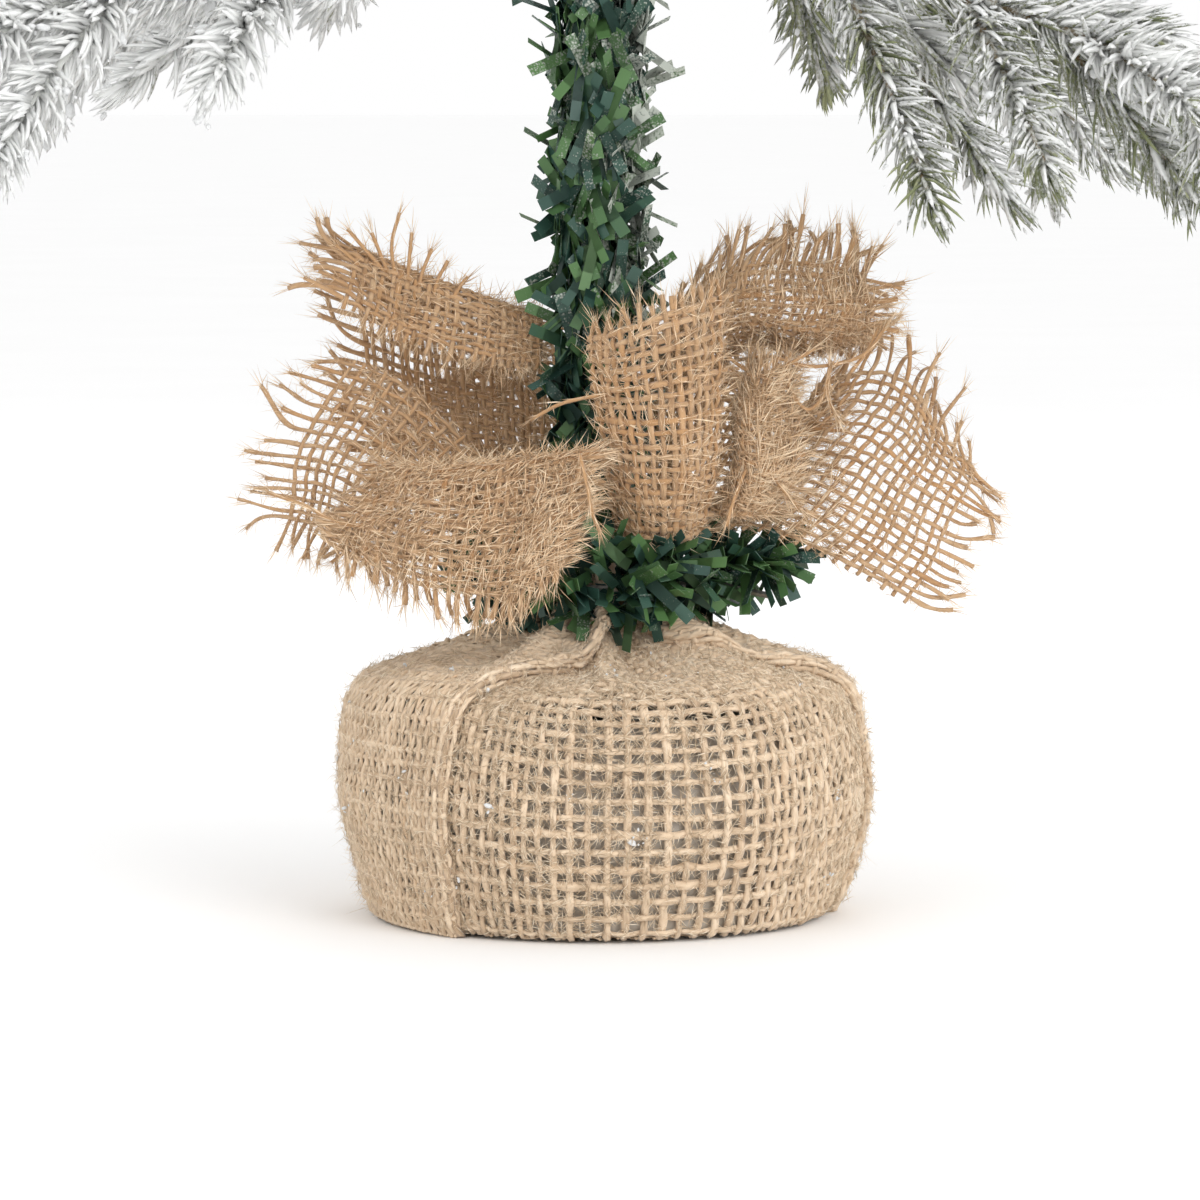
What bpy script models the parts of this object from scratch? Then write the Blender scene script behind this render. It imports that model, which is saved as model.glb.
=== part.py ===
"""Flocked tabletop tree: wired branches on a tinsel-wrapped pole, in a weighted pot under gathered burlap.

Metres, +Z up. The origin is the centre of the underside, where the burlap meets the table.
Angles round the trunk are in degrees from +X, and -90 is the front.
"""

import math

import bmesh
import bpy
from mathutils import Vector

# ---------------------------------------------------------------- driving dimensions
CLEARANCE = 0.0003  # between pieces that touch in the real object
UP = Vector((0, 0, 1))

# The burlap over the pot, outside: radius and height of its foot, belly, shoulder and neck.
CLOTH = 0.0015
FOOT_R = 0.0580
BELLY_R, BELLY_Z = 0.0650, 0.0280
SHOULDER_R, SHOULDER_Z = 0.0615, 0.0570
CONE_R, CONE_Z = 0.0340, 0.0685
NECK_R, NECK_Z = 0.0150, 0.0780
NECK_TOP_R = 0.0175
NECK_FLARE = 0.0030  # height above the tie in which the neck opens to its top radius

# The pot and the cement cast in it.
POT_WALL = 0.0012
POT_HEIGHT = 0.0530
FILL_HEIGHT = 0.0400
POLE_DEPTH = 0.0340  # how deep the pole stands in the cement

# The pole, the tinsel wound round it, and the bindings that hold each tier's wires.
POLE_R = 0.0030
POLE_TOP_Z = 0.5000
TINSEL_R = 0.0105
BINDING_R = 0.0090
BINDING_HEIGHT = 0.0160

# The wired tinsel that ties the neck.
TIE_WIRE_R = 0.0009
TIE_SECTION_R = 0.0085
TIE_GAP_ANGLE = -12.0  # where its two ends come out
TIE_GAP_WIDTH = 0.0090
TIE_TAIL = 0.0200

# Branches: a taped steel wire, and the needles moulded on it.
STEM_R = 0.0013
STEM_SHARE = 0.86  # how much of the branch the wire reaches
BARE_SHARE = 0.20  # how much of the branch, from the trunk, has no needles
FROND_R = 0.0052

# Each tier: how far up it is bound, from the lowest tier (0) to the pole's top (1), the reach and rise
# of its branches, their droop at the tip, and the angles they stand at.
CROWN_Z = 0.2540
TIERS = (
    {"up": 0.000, "reach": 0.184, "rise": -14, "droop": 0.012, "round": (-30, 31, 149, 210)},
    {"up": 0.276, "reach": 0.156, "rise": -7, "droop": 0.024, "round": (0, 62, 118, 180, 270)},
    {"up": 0.545, "reach": 0.124, "rise": 6, "droop": 0.020, "round": (45, 135, 225, 315)},
    {"up": 0.789, "reach": 0.092, "rise": 26, "droop": 0.012, "round": (20, 140, 260)},
)
# The sprigs of a branch: share of the reach where it leaves, side, spread from the branch, dip below it, length.
SPRIGS = (
    (
        (0.24, 1, 42, 18, 0.054),
        (0.30, -1, 32, 32, 0.074),
        (0.45, 1, 40, -10, 0.060),
        (0.50, -1, 38, 20, 0.060),
        (0.62, 1, 36, 26, 0.056),
        (0.68, -1, 34, -6, 0.050),
        (0.80, 1, 32, 12, 0.042),
        (0.82, -1, 34, 28, 0.044),
    ),
    (
        (0.26, 1, 42, 26, 0.062),
        (0.32, -1, 40, 26, 0.062),
        (0.50, 1, 38, -8, 0.052),
        (0.55, -1, 36, 24, 0.050),
        (0.74, 1, 34, 24, 0.038),
        (0.76, -1, 32, -4, 0.036),
    ),
    (
        (0.28, 1, 42, 18, 0.056),
        (0.34, -1, 40, 22, 0.054),
        (0.56, 1, 38, 14, 0.042),
        (0.60, -1, 36, -6, 0.040),
    ),
    (
        (0.30, 1, 40, 12, 0.044),
        (0.36, -1, 40, 14, 0.042),
        (0.62, 1, 36, 4, 0.030),
    ),
)
# The lowest branches on the left are bent up a little, and their sprigs hang less.
LEFT_BRANCHES = (149, 210)
LEFT_LIFT = 5
LEFT_SPRIGS = (
    (0.24, 1, 42, 2, 0.050),
    (0.30, -1, 40, 4, 0.054),
    (0.40, 1, 38, 18, 0.058),
    (0.50, -1, 38, 6, 0.056),
    (0.66, 1, 26, 22, 0.064),
    (0.68, -1, 34, -4, 0.048),
    (0.80, 1, 32, 8, 0.042),
    (0.82, -1, 34, 18, 0.044),
)
LEADER_REACH = 0.1060
# The leader's sprigs: share of its reach where each leaves, angle round it, spread from it, length.
LEADER_SPRIGS = (
    (0.24, 0, 40, 0.048),
    (0.30, 120, 40, 0.048),
    (0.36, 240, 40, 0.046),
    (0.60, 60, 34, 0.030),
    (0.66, 200, 34, 0.030),
)

# The frill above the tie. Each flap is a four by four net of points on the cloth, in millimetres, with
# heights from the top of the tie: a row runs along the cloth, and the rows go from the neck to the free edge.
FRILL_SEGMENTS = 6
FLAPS = {
    "frill_right": (
        ((17, -9, 3), (38, -14, 5), (58, -15, -3), (77, -11, -14)),
        ((30, -4, 14), (49, -11, 16), (68, -15, 8), (85, -11, -2)),
        ((44, 4, 28), (60, -3, 30), (77, -9, 22), (91, -7, 12)),
        ((56, 10, 41), (70, 5, 44), (84, -1, 34), (93, -1, 20)),
    ),
    "frill_top_right": (
        ((14, 10, 10), (11, 14, 26), (13, 15, 44), (19, 12, 60)),
        ((33, 10, 47), (31, -2, 53), (32, -5, 61), (36, 0, 71)),
        ((52, 8, 48), (51, -4, 53), (52, -7, 61), (54, -1, 72)),
        ((68, 8, 51), (68, 0, 54), (68, -3, 61), (68, 1, 68)),
    ),
    "frill_centre": (
        ((4, -20, 4), (11, -25, 3), (19, -25, 3), (25, -19, 4)),
        ((1, -25, 21), (10, -34, 20), (21, -34, 20), (28, -24, 21)),
        ((-2, -25, 40), (8, -35, 40), (21, -36, 42), (30, -24, 44)),
        ((-3, -21, 53), (6, -30, 56), (19, -31, 61), (30, -20, 64)),
    ),
    "frill_fold": (
        ((27, -15, 10), (31, -21, 9), (37, -22, 9), (43, -19, 9)),
        ((31, -14, 20), (35, -23, 19), (41, -24, 19), (47, -18, 20)),
        ((32, -12, 34), (36, -20, 33), (41, -20, 33), (46, -13, 34)),
        ((34, -10, 45), (38, -16, 44), (42, -16, 44), (46, -10, 45)),
    ),
    "frill_front_left": (
        ((-32, -14, 10), (-22, -18, 10), (-12, -21, 10), (-2, -23, 10)),
        ((-52, -26, 22), (-36, -33, 22), (-19, -37, 24), (-3, -35, 26)),
        ((-59, -36, 12), (-41, -44, 9), (-21, -46, 9), (-6, -42, 13)),
        ((-62, -38, 2), (-43, -46, -6), (-25, -48, -9), (-9, -44, -1)),
    ),
    "frill_left": (
        ((-16, 2, 6), (-34, 2, 28), (-50, 0, 42), (-62, -2, 47)),
        ((-26, -4, 3), (-44, -8, 20), (-58, -8, 30), (-72, -6, 34)),
        ((-38, -10, 0), (-54, -14, 10), (-66, -14, 17), (-77, -10, 19)),
        ((-50, -13, -2), (-60, -17, 2), (-70, -16, 5), (-78, -12, 7)),
    ),
    "frill_top_left": (
        ((-52, 16, 18), (-38, 18, 14), (-26, 18, 12), (-14, 15, 10)),
        ((-60, 20, 44), (-44, 22, 39), (-28, 22, 36), (-14, 18, 34)),
        ((-62, 12, 74), (-45, 12, 67), (-28, 12, 61), (-15, 10, 57)),
        ((-66, 2, 62), (-48, 0, 53), (-30, 0, 48), (-16, 2, 46)),
    ),
    "frill_back": (
        ((-22, 24, 3), (-8, 22, 4), (8, 22, 4), (22, 24, 3)),
        ((-34, 36, 22), (-12, 33, 24), (12, 33, 24), (34, 36, 20)),
        ((-44, 50, 36), (-16, 46, 44), (16, 46, 42), (46, 50, 34)),
        ((-54, 64, 24), (-20, 62, 52), (20, 62, 50), (56, 64, 26)),
    ),
}

TURN_STEPS = 32
THIN_TURN_STEPS = 16


# ---------------------------------------------------------------- workshop
def clear_scene():
    for obj in list(bpy.data.objects):
        bpy.data.objects.remove(obj, do_unlink=True)


def collection(name, shown=True):
    made = bpy.data.collections.new(name)
    bpy.context.scene.collection.children.link(made)
    made.hide_render = not shown
    return made


def material(name, colour, roughness, metallic=0.0):
    made = bpy.data.materials.new(name)
    made.use_nodes = True
    made.diffuse_color = (*colour, 1)
    shader = made.node_tree.nodes["Principled BSDF"]
    shader.inputs["Base Color"].default_value = (*colour, 1)
    shader.inputs["Roughness"].default_value = roughness
    shader.inputs["Metallic"].default_value = metallic
    return made


def place(name, data, finish=None, parent=None, into=None):
    obj = bpy.data.objects.new(name, data)
    (into or parts).objects.link(obj)
    if finish:
        data.materials.append(finish)
    if parent:
        obj.parent = parent
    return obj


def cutter(name, data):
    obj = place(name, data, into=cutters)
    obj.hide_render = True
    obj.display_type = "WIRE"
    return obj


def turned(name, profile, finish, steps=TURN_STEPS, ring=False):
    """A turned piece. Its profile is (radius, height) pairs that run down the outer side; a ring's closes."""
    mesh = bpy.data.meshes.new(name)
    edges = [(i, i + 1) for i in range(len(profile) - 1)]
    if ring:
        edges.append((len(profile) - 1, 0))
    mesh.from_pydata([(r, 0, z) for r, z in profile], edges, [])
    obj = place(name, mesh, finish)
    screw = obj.modifiers.new("turn", "SCREW")
    screw.steps = screw.render_steps = steps
    screw.use_merge_vertices = True
    screw.merge_threshold = 0.00001
    screw.use_smooth_shade = True
    return obj


def sleeve(name, inner, outer, low, high, finish):
    """A plain ring round the pole."""
    profile = ((inner, low), (inner, high), (outer, high), (outer, low))
    return turned(name, profile, finish, THIN_TURN_STEPS, ring=True)


def tube_mesh(name, points, radius, shares=None, sides=6):
    """A closed tube along points. shares scales its radius at each point."""
    curve = bpy.data.curves.new(name, "CURVE")
    curve.dimensions = "3D"
    curve.bevel_depth = radius
    curve.bevel_resolution = (sides - 4) // 2
    curve.use_fill_caps = True
    spline = curve.splines.new("POLY")
    spline.points.add(len(points) - 1)
    for point, at, share in zip(spline.points, points, shares or [1] * len(points)):
        point.co = (*at, 1)
        point.radius = share
    holder = bpy.data.objects.new(name + "_curve", curve)
    cutters.objects.link(holder)
    graph = bpy.context.evaluated_depsgraph_get()
    mesh = bpy.data.meshes.new_from_object(holder.evaluated_get(graph))
    bpy.data.objects.remove(holder)
    bpy.data.curves.remove(curve)
    shell = bmesh.new()
    shell.from_mesh(mesh)
    bmesh.ops.remove_doubles(shell, verts=shell.verts, dist=0.000001)
    bmesh.ops.recalc_face_normals(shell, faces=shell.faces)
    shell.to_mesh(mesh)
    shell.free()
    mesh.name = name
    return mesh


def boolean(obj, other, operation):
    step = obj.modifiers.new(operation.lower(), "BOOLEAN")
    step.operation = operation
    step.object = other


def direction(azimuth, rise):
    """The unit vector at an angle round the trunk, and an angle above the table."""
    across = math.cos(math.radians(rise))
    angle = math.radians(azimuth)
    return Vector((across * math.cos(angle), across * math.sin(angle), math.sin(math.radians(rise))))


def smooth(points, t):
    """The point at t, from 0 to 1, on the Catmull-Rom curve through points."""
    at = t * (len(points) - 1)
    i = min(int(at), len(points) - 2)
    t = at - i
    before = points[i - 1] if i else 2 * points[0] - points[1]
    after = points[i + 2] if i + 2 < len(points) else 2 * points[-1] - points[-2]
    a, b = points[i], points[i + 1]
    return 0.5 * (
        2 * a
        + (b - before) * t
        + (2 * before - 5 * a + 4 * b - after) * t**2
        + (3 * a - 3 * b + after - before) * t**3
    )


# ---------------------------------------------------------------- base
def tie_ring():
    """The radius and the height of the tie's wire: the tie lies round the neck, on the burlap's cone."""
    ring_r = NECK_R + CLEARANCE + TIE_SECTION_R
    slope = math.atan2(NECK_Z - CONE_Z, CONE_R - NECK_R)
    return ring_r, NECK_Z - (ring_r - NECK_R) * math.tan(slope) + (TIE_SECTION_R + CLEARANCE) / math.cos(slope)


def neck_top():
    return tie_ring()[1] + TIE_SECTION_R + NECK_FLARE


def wrap_radius(z):
    """The burlap's outer radius at a height between its foot and its shoulder."""
    if z < BELLY_Z:
        return FOOT_R + (BELLY_R - FOOT_R) * z / BELLY_Z
    return BELLY_R + (SHOULDER_R - BELLY_R) * (z - BELLY_Z) / (SHOULDER_Z - BELLY_Z)


def pot_radius(z):
    """The pot's outer radius at a height: the burlap's, less the cloth and the clearance."""
    return wrap_radius(z) - CLOTH - CLEARANCE


def make_base():
    pot_foot = CLOTH + CLEARANCE
    pot_floor = pot_foot + POT_WALL
    turned(
        "base_pot",
        (
            (0, pot_floor),
            (pot_radius(pot_floor) - POT_WALL, pot_floor),
            (pot_radius(BELLY_Z) - POT_WALL, BELLY_Z),
            (pot_radius(POT_HEIGHT) - POT_WALL, POT_HEIGHT),
            (pot_radius(POT_HEIGHT), POT_HEIGHT),
            (pot_radius(BELLY_Z), BELLY_Z),
            (pot_radius(pot_foot), pot_foot),
            (0, pot_foot),
        ),
        grey_plastic,
    )
    fill_foot = pot_floor + CLEARANCE
    fill_top = fill_foot + FILL_HEIGHT
    inset = POT_WALL + CLEARANCE
    bore_r = POLE_R + CLEARANCE
    bore_foot = fill_top - POLE_DEPTH - CLEARANCE
    turned(
        "cement_weight",
        (
            (0, bore_foot),
            (bore_r, bore_foot),
            (bore_r, fill_top),
            (pot_radius(fill_top) - inset, fill_top),
            (pot_radius(BELLY_Z) - inset, BELLY_Z),
            (pot_radius(fill_foot) - inset, fill_foot),
            (0, fill_foot),
        ),
        cement,
    )
    bunched = POLE_R + CLEARANCE  # above the pot the gathered cloth closes on the pole
    inside = (
        (0, CLOTH),
        (wrap_radius(CLOTH) - CLOTH, CLOTH),
        (BELLY_R - CLOTH, BELLY_Z),
        (SHOULDER_R - CLOTH, SHOULDER_Z),
        (CONE_R, CONE_Z - 2 * CLOTH),
        (bunched, NECK_Z - 3 * CLOTH),
        (bunched, neck_top()),
    )
    outside = (
        (NECK_TOP_R, neck_top()),
        (NECK_R, neck_top() - NECK_FLARE),
        (NECK_R, NECK_Z),
        (CONE_R, CONE_Z),
        (SHOULDER_R - 0.006, SHOULDER_Z + 0.004),
        (SHOULDER_R, SHOULDER_Z),
        (BELLY_R, BELLY_Z),
        (FOOT_R, 0),
        (0, 0),
    )
    turned("burlap_wrap", (*inside, *outside), burlap)
    pole = tube_mesh("trunk_pole", [UP * (fill_top - POLE_DEPTH), UP * POLE_TOP_Z], POLE_R, sides=12)
    place("trunk_pole", pole, steel)


def make_tie():
    """A ring of tinsel on a steel wire, with the wire's two ends coming out of its gap."""
    ring_r, ring_z = tie_ring()
    groove = TIE_WIRE_R + 2 * CLEARANCE  # the second clearance covers the steps of the turn
    section = [
        (ring_r + TIE_SECTION_R * math.cos(math.radians(a)), ring_z + TIE_SECTION_R * math.sin(math.radians(a)))
        for a in range(165, -166, -30)
    ]
    profile = (
        (ring_r + groove, ring_z - groove),
        (ring_r + groove, ring_z + groove),
        (section[0][0], ring_z + groove),
        *section,
        (section[-1][0], ring_z - groove),
    )
    ring = turned("tie_tinsel", profile, tinsel, ring=True)
    slot = bmesh.new()
    bmesh.ops.create_cube(slot, size=1)
    reach = 2 * TIE_SECTION_R + 0.010
    for v in slot.verts:
        v.co = Vector(((v.co.x + 0.5) * reach + NECK_R - 0.004, v.co.y * TIE_GAP_WIDTH, v.co.z * 0.030))
    slot_mesh = bpy.data.meshes.new("tie_gap")
    slot.to_mesh(slot_mesh)
    slot.free()
    gap = cutter("tie_gap", slot_mesh)
    gap.location.z = ring_z
    gap.rotation_euler.z = math.radians(TIE_GAP_ANGLE)
    boolean(ring, gap, "DIFFERENCE")

    half_turn = math.degrees((TIE_GAP_WIDTH / 2) / ring_r)
    apart = TIE_WIRE_R + 0.0008
    out, side = direction(TIE_GAP_ANGLE, 0), direction(TIE_GAP_ANGLE + 90, 0)
    centre = UP * ring_z
    start, end = TIE_GAP_ANGLE + half_turn, TIE_GAP_ANGLE + 360 - half_turn
    steps = TURN_STEPS
    loop = [centre + ring_r * direction(start + (end - start) * i / steps, 0) for i in range(steps + 1)]
    tail_from, tail_to = ring_r + 0.0042, ring_r + TIE_TAIL
    tail = [
        [centre + out * tail_to + side * s * apart + UP * 0.003 * s, centre + out * tail_from + side * s * apart]
        for s in (1, -1)
    ]
    wire = tube_mesh("tie_wire", [*tail[0], *loop, *reversed(tail[1])], TIE_WIRE_R)
    place("tie_wire", wire, steel)


def tier_height(tier):
    return CROWN_Z + (POLE_TOP_Z - CROWN_Z) * tier["up"]


def make_trunk():
    """Tinsel round the pole between the bindings that hold the tiers."""
    inner = POLE_R + CLEARANCE
    low = neck_top() + CLEARANCE
    for i, tier in enumerate(TIERS, 1):
        high = tier_height(tier) - BINDING_HEIGHT / 2
        name = "trunk_tinsel" if i == 1 else f"tinsel_sleeve_{i - 1}"
        sleeve(name, inner, TINSEL_R, low, high - CLEARANCE, tinsel)
        sleeve(f"tier_binding_{i}", inner, BINDING_R, high, high + BINDING_HEIGHT, tape)
        low = high + BINDING_HEIGHT + CLEARANCE
    sleeve("tinsel_sleeve_4", inner, TINSEL_R, low, POLE_TOP_Z - 0.006, tinsel)


# ---------------------------------------------------------------- frill
def flap_point(net, u, v):
    """A point of the cloth: u goes from the neck to the free edge, v along it."""
    rows = [smooth([Vector(p) * 0.001 for p in row], v) for row in net]
    return smooth(rows, u)


def make_frill():
    tie_top = tie_ring()[1] + TIE_SECTION_R
    for name, net in FLAPS.items():
        sheet = bmesh.new()
        bmesh.ops.create_grid(sheet, x_segments=FRILL_SEGMENTS, y_segments=FRILL_SEGMENTS, size=0.5)
        for v in sheet.verts:
            v.co = flap_point(net, v.co.x + 0.5, v.co.y + 0.5) + UP * tie_top
        mesh = bpy.data.meshes.new(name)
        sheet.to_mesh(mesh)
        sheet.free()
        flap = place(name, mesh, burlap)
        solid = flap.modifiers.new("cloth", "SOLIDIFY")
        solid.thickness = CLOTH
        solid.offset = 0


# ---------------------------------------------------------------- branches
def stem_path(reach, rise, droop, share):
    """A point of a branch in its own frame: +X runs out from the trunk, and the hinge is at the origin."""
    along = reach * share
    return Vector((along * math.cos(math.radians(rise)), 0, along * math.sin(math.radians(rise)) - droop * share**2))


def sprig_points(root, heading, length):
    """A sprig leaves root along heading and sags a little."""
    return [root + heading * length * t - UP * 0.10 * length * t * t for t in (0, 0.34, 0.74, 1)]


def make_sprigs(name, spine, sides, bore, parent, finish):
    """The needles of one branch as a single body: a spindle along the stem, one along each sprig, and a bore for the wire."""
    swell = (0.62, 1, 0.9, 0.34)
    obj = place(name, tube_mesh(name, spine, FROND_R, swell), finish, parent)
    for i, points in enumerate(sides):
        side = cutter(f"{name}_side_{i}", tube_mesh(f"{name}_side_{i}", points, FROND_R, swell, sides=4))
        side.parent = parent
        boolean(obj, side, "UNION")
    tunnel = cutter(f"{name}_bore", tube_mesh(f"{name}_bore", bore, STEM_R + CLEARANCE))
    tunnel.parent = parent
    boolean(obj, tunnel, "DIFFERENCE")
    return obj


def hinge(name, at, azimuth):
    empty = bpy.data.objects.new(name, None)
    parts.objects.link(empty)
    empty.location = at
    empty.rotation_euler.z = math.radians(azimuth)
    return empty


def make_branches():
    root_r = BINDING_R + CLEARANCE + STEM_R * 1.3
    for number, tier in enumerate(TIERS, 1):
        reach = tier["reach"]
        for letter, azimuth in zip("abcdef", tier["round"]):
            left = number == 1 and azimuth in LEFT_BRANCHES
            sprigs = LEFT_SPRIGS if left else SPRIGS[number - 1]
            slope = tier["rise"] + (LEFT_LIFT if left else 0)

            def at(share):
                return stem_path(reach, slope, tier["droop"], share)

            mark = f"{number}{letter}"
            joint = hinge(f"hinge_{mark}", root_r * direction(azimuth, 0) + UP * tier_height(tier), azimuth)
            shares = (0, 0.22, 0.44, 0.65, STEM_SHARE)
            place(f"stem_{mark}", tube_mesh(f"stem_{mark}", [at(s) for s in shares], STEM_R), tape, joint)
            spine = [at(BARE_SHARE + (1 - BARE_SHARE) * t) for t in (0, 0.3, 0.7, 1)]
            sides = []
            for share, side, spread, dip, length in sprigs:
                along = at(share + 0.01) - at(share - 0.01)
                rise = math.degrees(math.atan2(along.z, along.x))
                sides.append(sprig_points(at(share), direction(side * spread, rise - dip), length))
            bore = [at(s) for s in (BARE_SHARE - 0.05, 0.22, 0.44, 0.65, STEM_SHARE + CLEARANCE / reach)]
            make_sprigs(f"sprigs_{mark}", spine, sides, bore, joint, needles)


def make_leader():
    joint = hinge("hinge_leader", UP * (POLE_TOP_Z + CLEARANCE + STEM_R * 1.3), 0)

    def at(share):
        return UP * LEADER_REACH * share

    place("leader_stem", tube_mesh("leader_stem", [at(0), at(STEM_SHARE)], STEM_R), tape, joint)
    spine = [at(BARE_SHARE + (1 - BARE_SHARE) * t) for t in (0, 0.3, 0.7, 1)]
    sides = [
        sprig_points(at(share), direction(azimuth, 90 - spread), length)
        for share, azimuth, spread, length in LEADER_SPRIGS
    ]
    bore = [at(BARE_SHARE - 0.05), at(STEM_SHARE + CLEARANCE / LEADER_REACH)]
    make_sprigs("leader_sprigs", spine, sides, bore, joint, needles)


clear_scene()
parts = collection("tabletop_tree")
cutters = collection("cutters", shown=False)
burlap = material("burlap", (0.52, 0.38, 0.24), 0.95)
grey_plastic = material("grey_plastic", (0.34, 0.34, 0.33), 0.5)
cement = material("cement", (0.45, 0.44, 0.42), 0.9)
steel = material("dark_steel", (0.07, 0.07, 0.07), 0.45, 0.9)
tape = material("brown_tape", (0.20, 0.12, 0.06), 0.7)
tinsel = material("green_tinsel", (0.03, 0.11, 0.04), 0.45)
needles = material("flocked_needles", (0.55, 0.60, 0.55), 0.85)
make_base()
make_tie()
make_trunk()
make_frill()
make_branches()
make_leader()
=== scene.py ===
import math

import bpy
import numpy as np
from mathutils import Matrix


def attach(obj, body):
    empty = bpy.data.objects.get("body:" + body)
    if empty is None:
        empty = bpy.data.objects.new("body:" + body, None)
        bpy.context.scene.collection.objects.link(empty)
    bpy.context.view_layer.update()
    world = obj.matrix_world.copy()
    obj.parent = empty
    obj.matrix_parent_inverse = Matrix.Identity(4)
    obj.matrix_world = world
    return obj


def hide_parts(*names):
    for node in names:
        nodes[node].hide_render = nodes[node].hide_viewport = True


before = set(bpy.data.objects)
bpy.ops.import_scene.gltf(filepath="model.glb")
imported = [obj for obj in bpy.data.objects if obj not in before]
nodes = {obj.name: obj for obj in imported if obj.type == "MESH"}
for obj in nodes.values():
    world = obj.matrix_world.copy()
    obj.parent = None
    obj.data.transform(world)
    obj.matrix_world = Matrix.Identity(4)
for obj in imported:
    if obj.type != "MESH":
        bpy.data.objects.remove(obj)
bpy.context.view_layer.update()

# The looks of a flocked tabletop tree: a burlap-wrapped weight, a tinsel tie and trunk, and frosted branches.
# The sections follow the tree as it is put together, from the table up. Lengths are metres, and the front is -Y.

MM = 0.001

# ---------------------------------------------------------------- studio
# A white sweep under a big overhead softbox, with a softer box to the left and a fill to the right.
# The camera stands a little above the pot and looks at the lower part of the tree.
CAMERA_DISTANCE = 1.5
CAMERA_RISE = 5.0
LOOK_AT = (0.0, 0.0, 0.0785)
VIEW_WIDTH = 0.300  # how much the camera takes in at the trunk
SENSOR = 36.0


def turn(azimuth, rise=0.0, length=1.0):
    """The vector at an angle round the trunk and an angle above the table, in degrees."""
    a, b = math.radians(azimuth), math.radians(rise)
    return np.array((math.cos(b) * math.cos(a), math.cos(b) * math.sin(a), math.sin(b))) * length


lens = bpy.data.cameras.new("camera")
lens.sensor_width = SENSOR
lens.lens = SENSOR * CAMERA_DISTANCE / VIEW_WIDTH
lens.clip_start = 0.05
lens.clip_end = 100
camera = bpy.data.objects.new("camera", lens)
camera.location = np.array(LOOK_AT) + turn(-90, CAMERA_RISE, CAMERA_DISTANCE)
camera.rotation_euler = (math.radians(90 - CAMERA_RISE), 0, 0)
bpy.context.collection.objects.link(camera)
bpy.context.scene.camera = camera

world = bpy.data.worlds.new("studio")
world.use_nodes = True
world.node_tree.nodes["Background"].inputs["Color"].default_value = (1, 1, 1, 1)
world.node_tree.nodes["Background"].inputs["Strength"].default_value = 1.0
bpy.context.scene.world = world
bpy.context.scene.view_settings.view_transform = "Standard"

# Each softbox: how far round, how high, how far away, its side and its power.
for name, azimuth, rise, away, side, power in (
    ("overhead", -80, 66, 1.5, 1.2, 2),
    ("key", -58, 20, 1.7, 0.9, 11),
    ("fill", -125, 16, 1.7, 1.0, 3),
    ("rim", 80, 40, 1.7, 0.9, 3),
):
    box = bpy.data.lights.new(name, "AREA")
    box.size = side
    box.energy = power
    lamp = bpy.data.objects.new(name, box)
    toward = turn(azimuth, rise)
    lamp.location = np.array((0, 0, 0.2)) + toward * away
    lamp.rotation_euler = (math.radians(90 - rise), 0, math.radians(azimuth + 90))
    bpy.context.collection.objects.link(lamp)


def deselect_all():
    for obj in bpy.context.selected_objects:
        obj.select_set(False)


deselect_all()
bpy.ops.mesh.primitive_plane_add(size=60, location=(0, 0, 0))
floor = bpy.context.active_object
floor.name = "floor"


class Amount:
    """A number that varies over a surface, so that shader maths reads as an expression."""

    def __init__(self, finish, socket):
        self.finish, self.socket = finish, socket

    def _with(self, operation, first, second=None):
        made = self.finish.node("Math", {"operation": operation}, {0: first, 1: second})
        return Amount(self.finish, made.outputs[0])

    def __add__(self, other):
        return self._with("ADD", self, other)

    def __sub__(self, other):
        return self._with("SUBTRACT", self, other)

    def __mul__(self, other):
        return self._with("MULTIPLY", self, other)

    def __rsub__(self, other):
        return self._with("SUBTRACT", other, self)

    def __pow__(self, other):
        return self._with("POWER", self, other)

    __radd__, __rmul__ = __add__, __mul__

    def sine(self):
        return self._with("SINE", self)

    def step(self, low, high):
        """0 below low, 1 above high, and smooth between."""
        ramp = {"interpolation_type": "SMOOTHSTEP"}
        limits = {"Value": self, "From Min": low, "From Max": high}
        return Amount(self.finish, self.finish.node("MapRange", ramp, limits).outputs["Result"])


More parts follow.
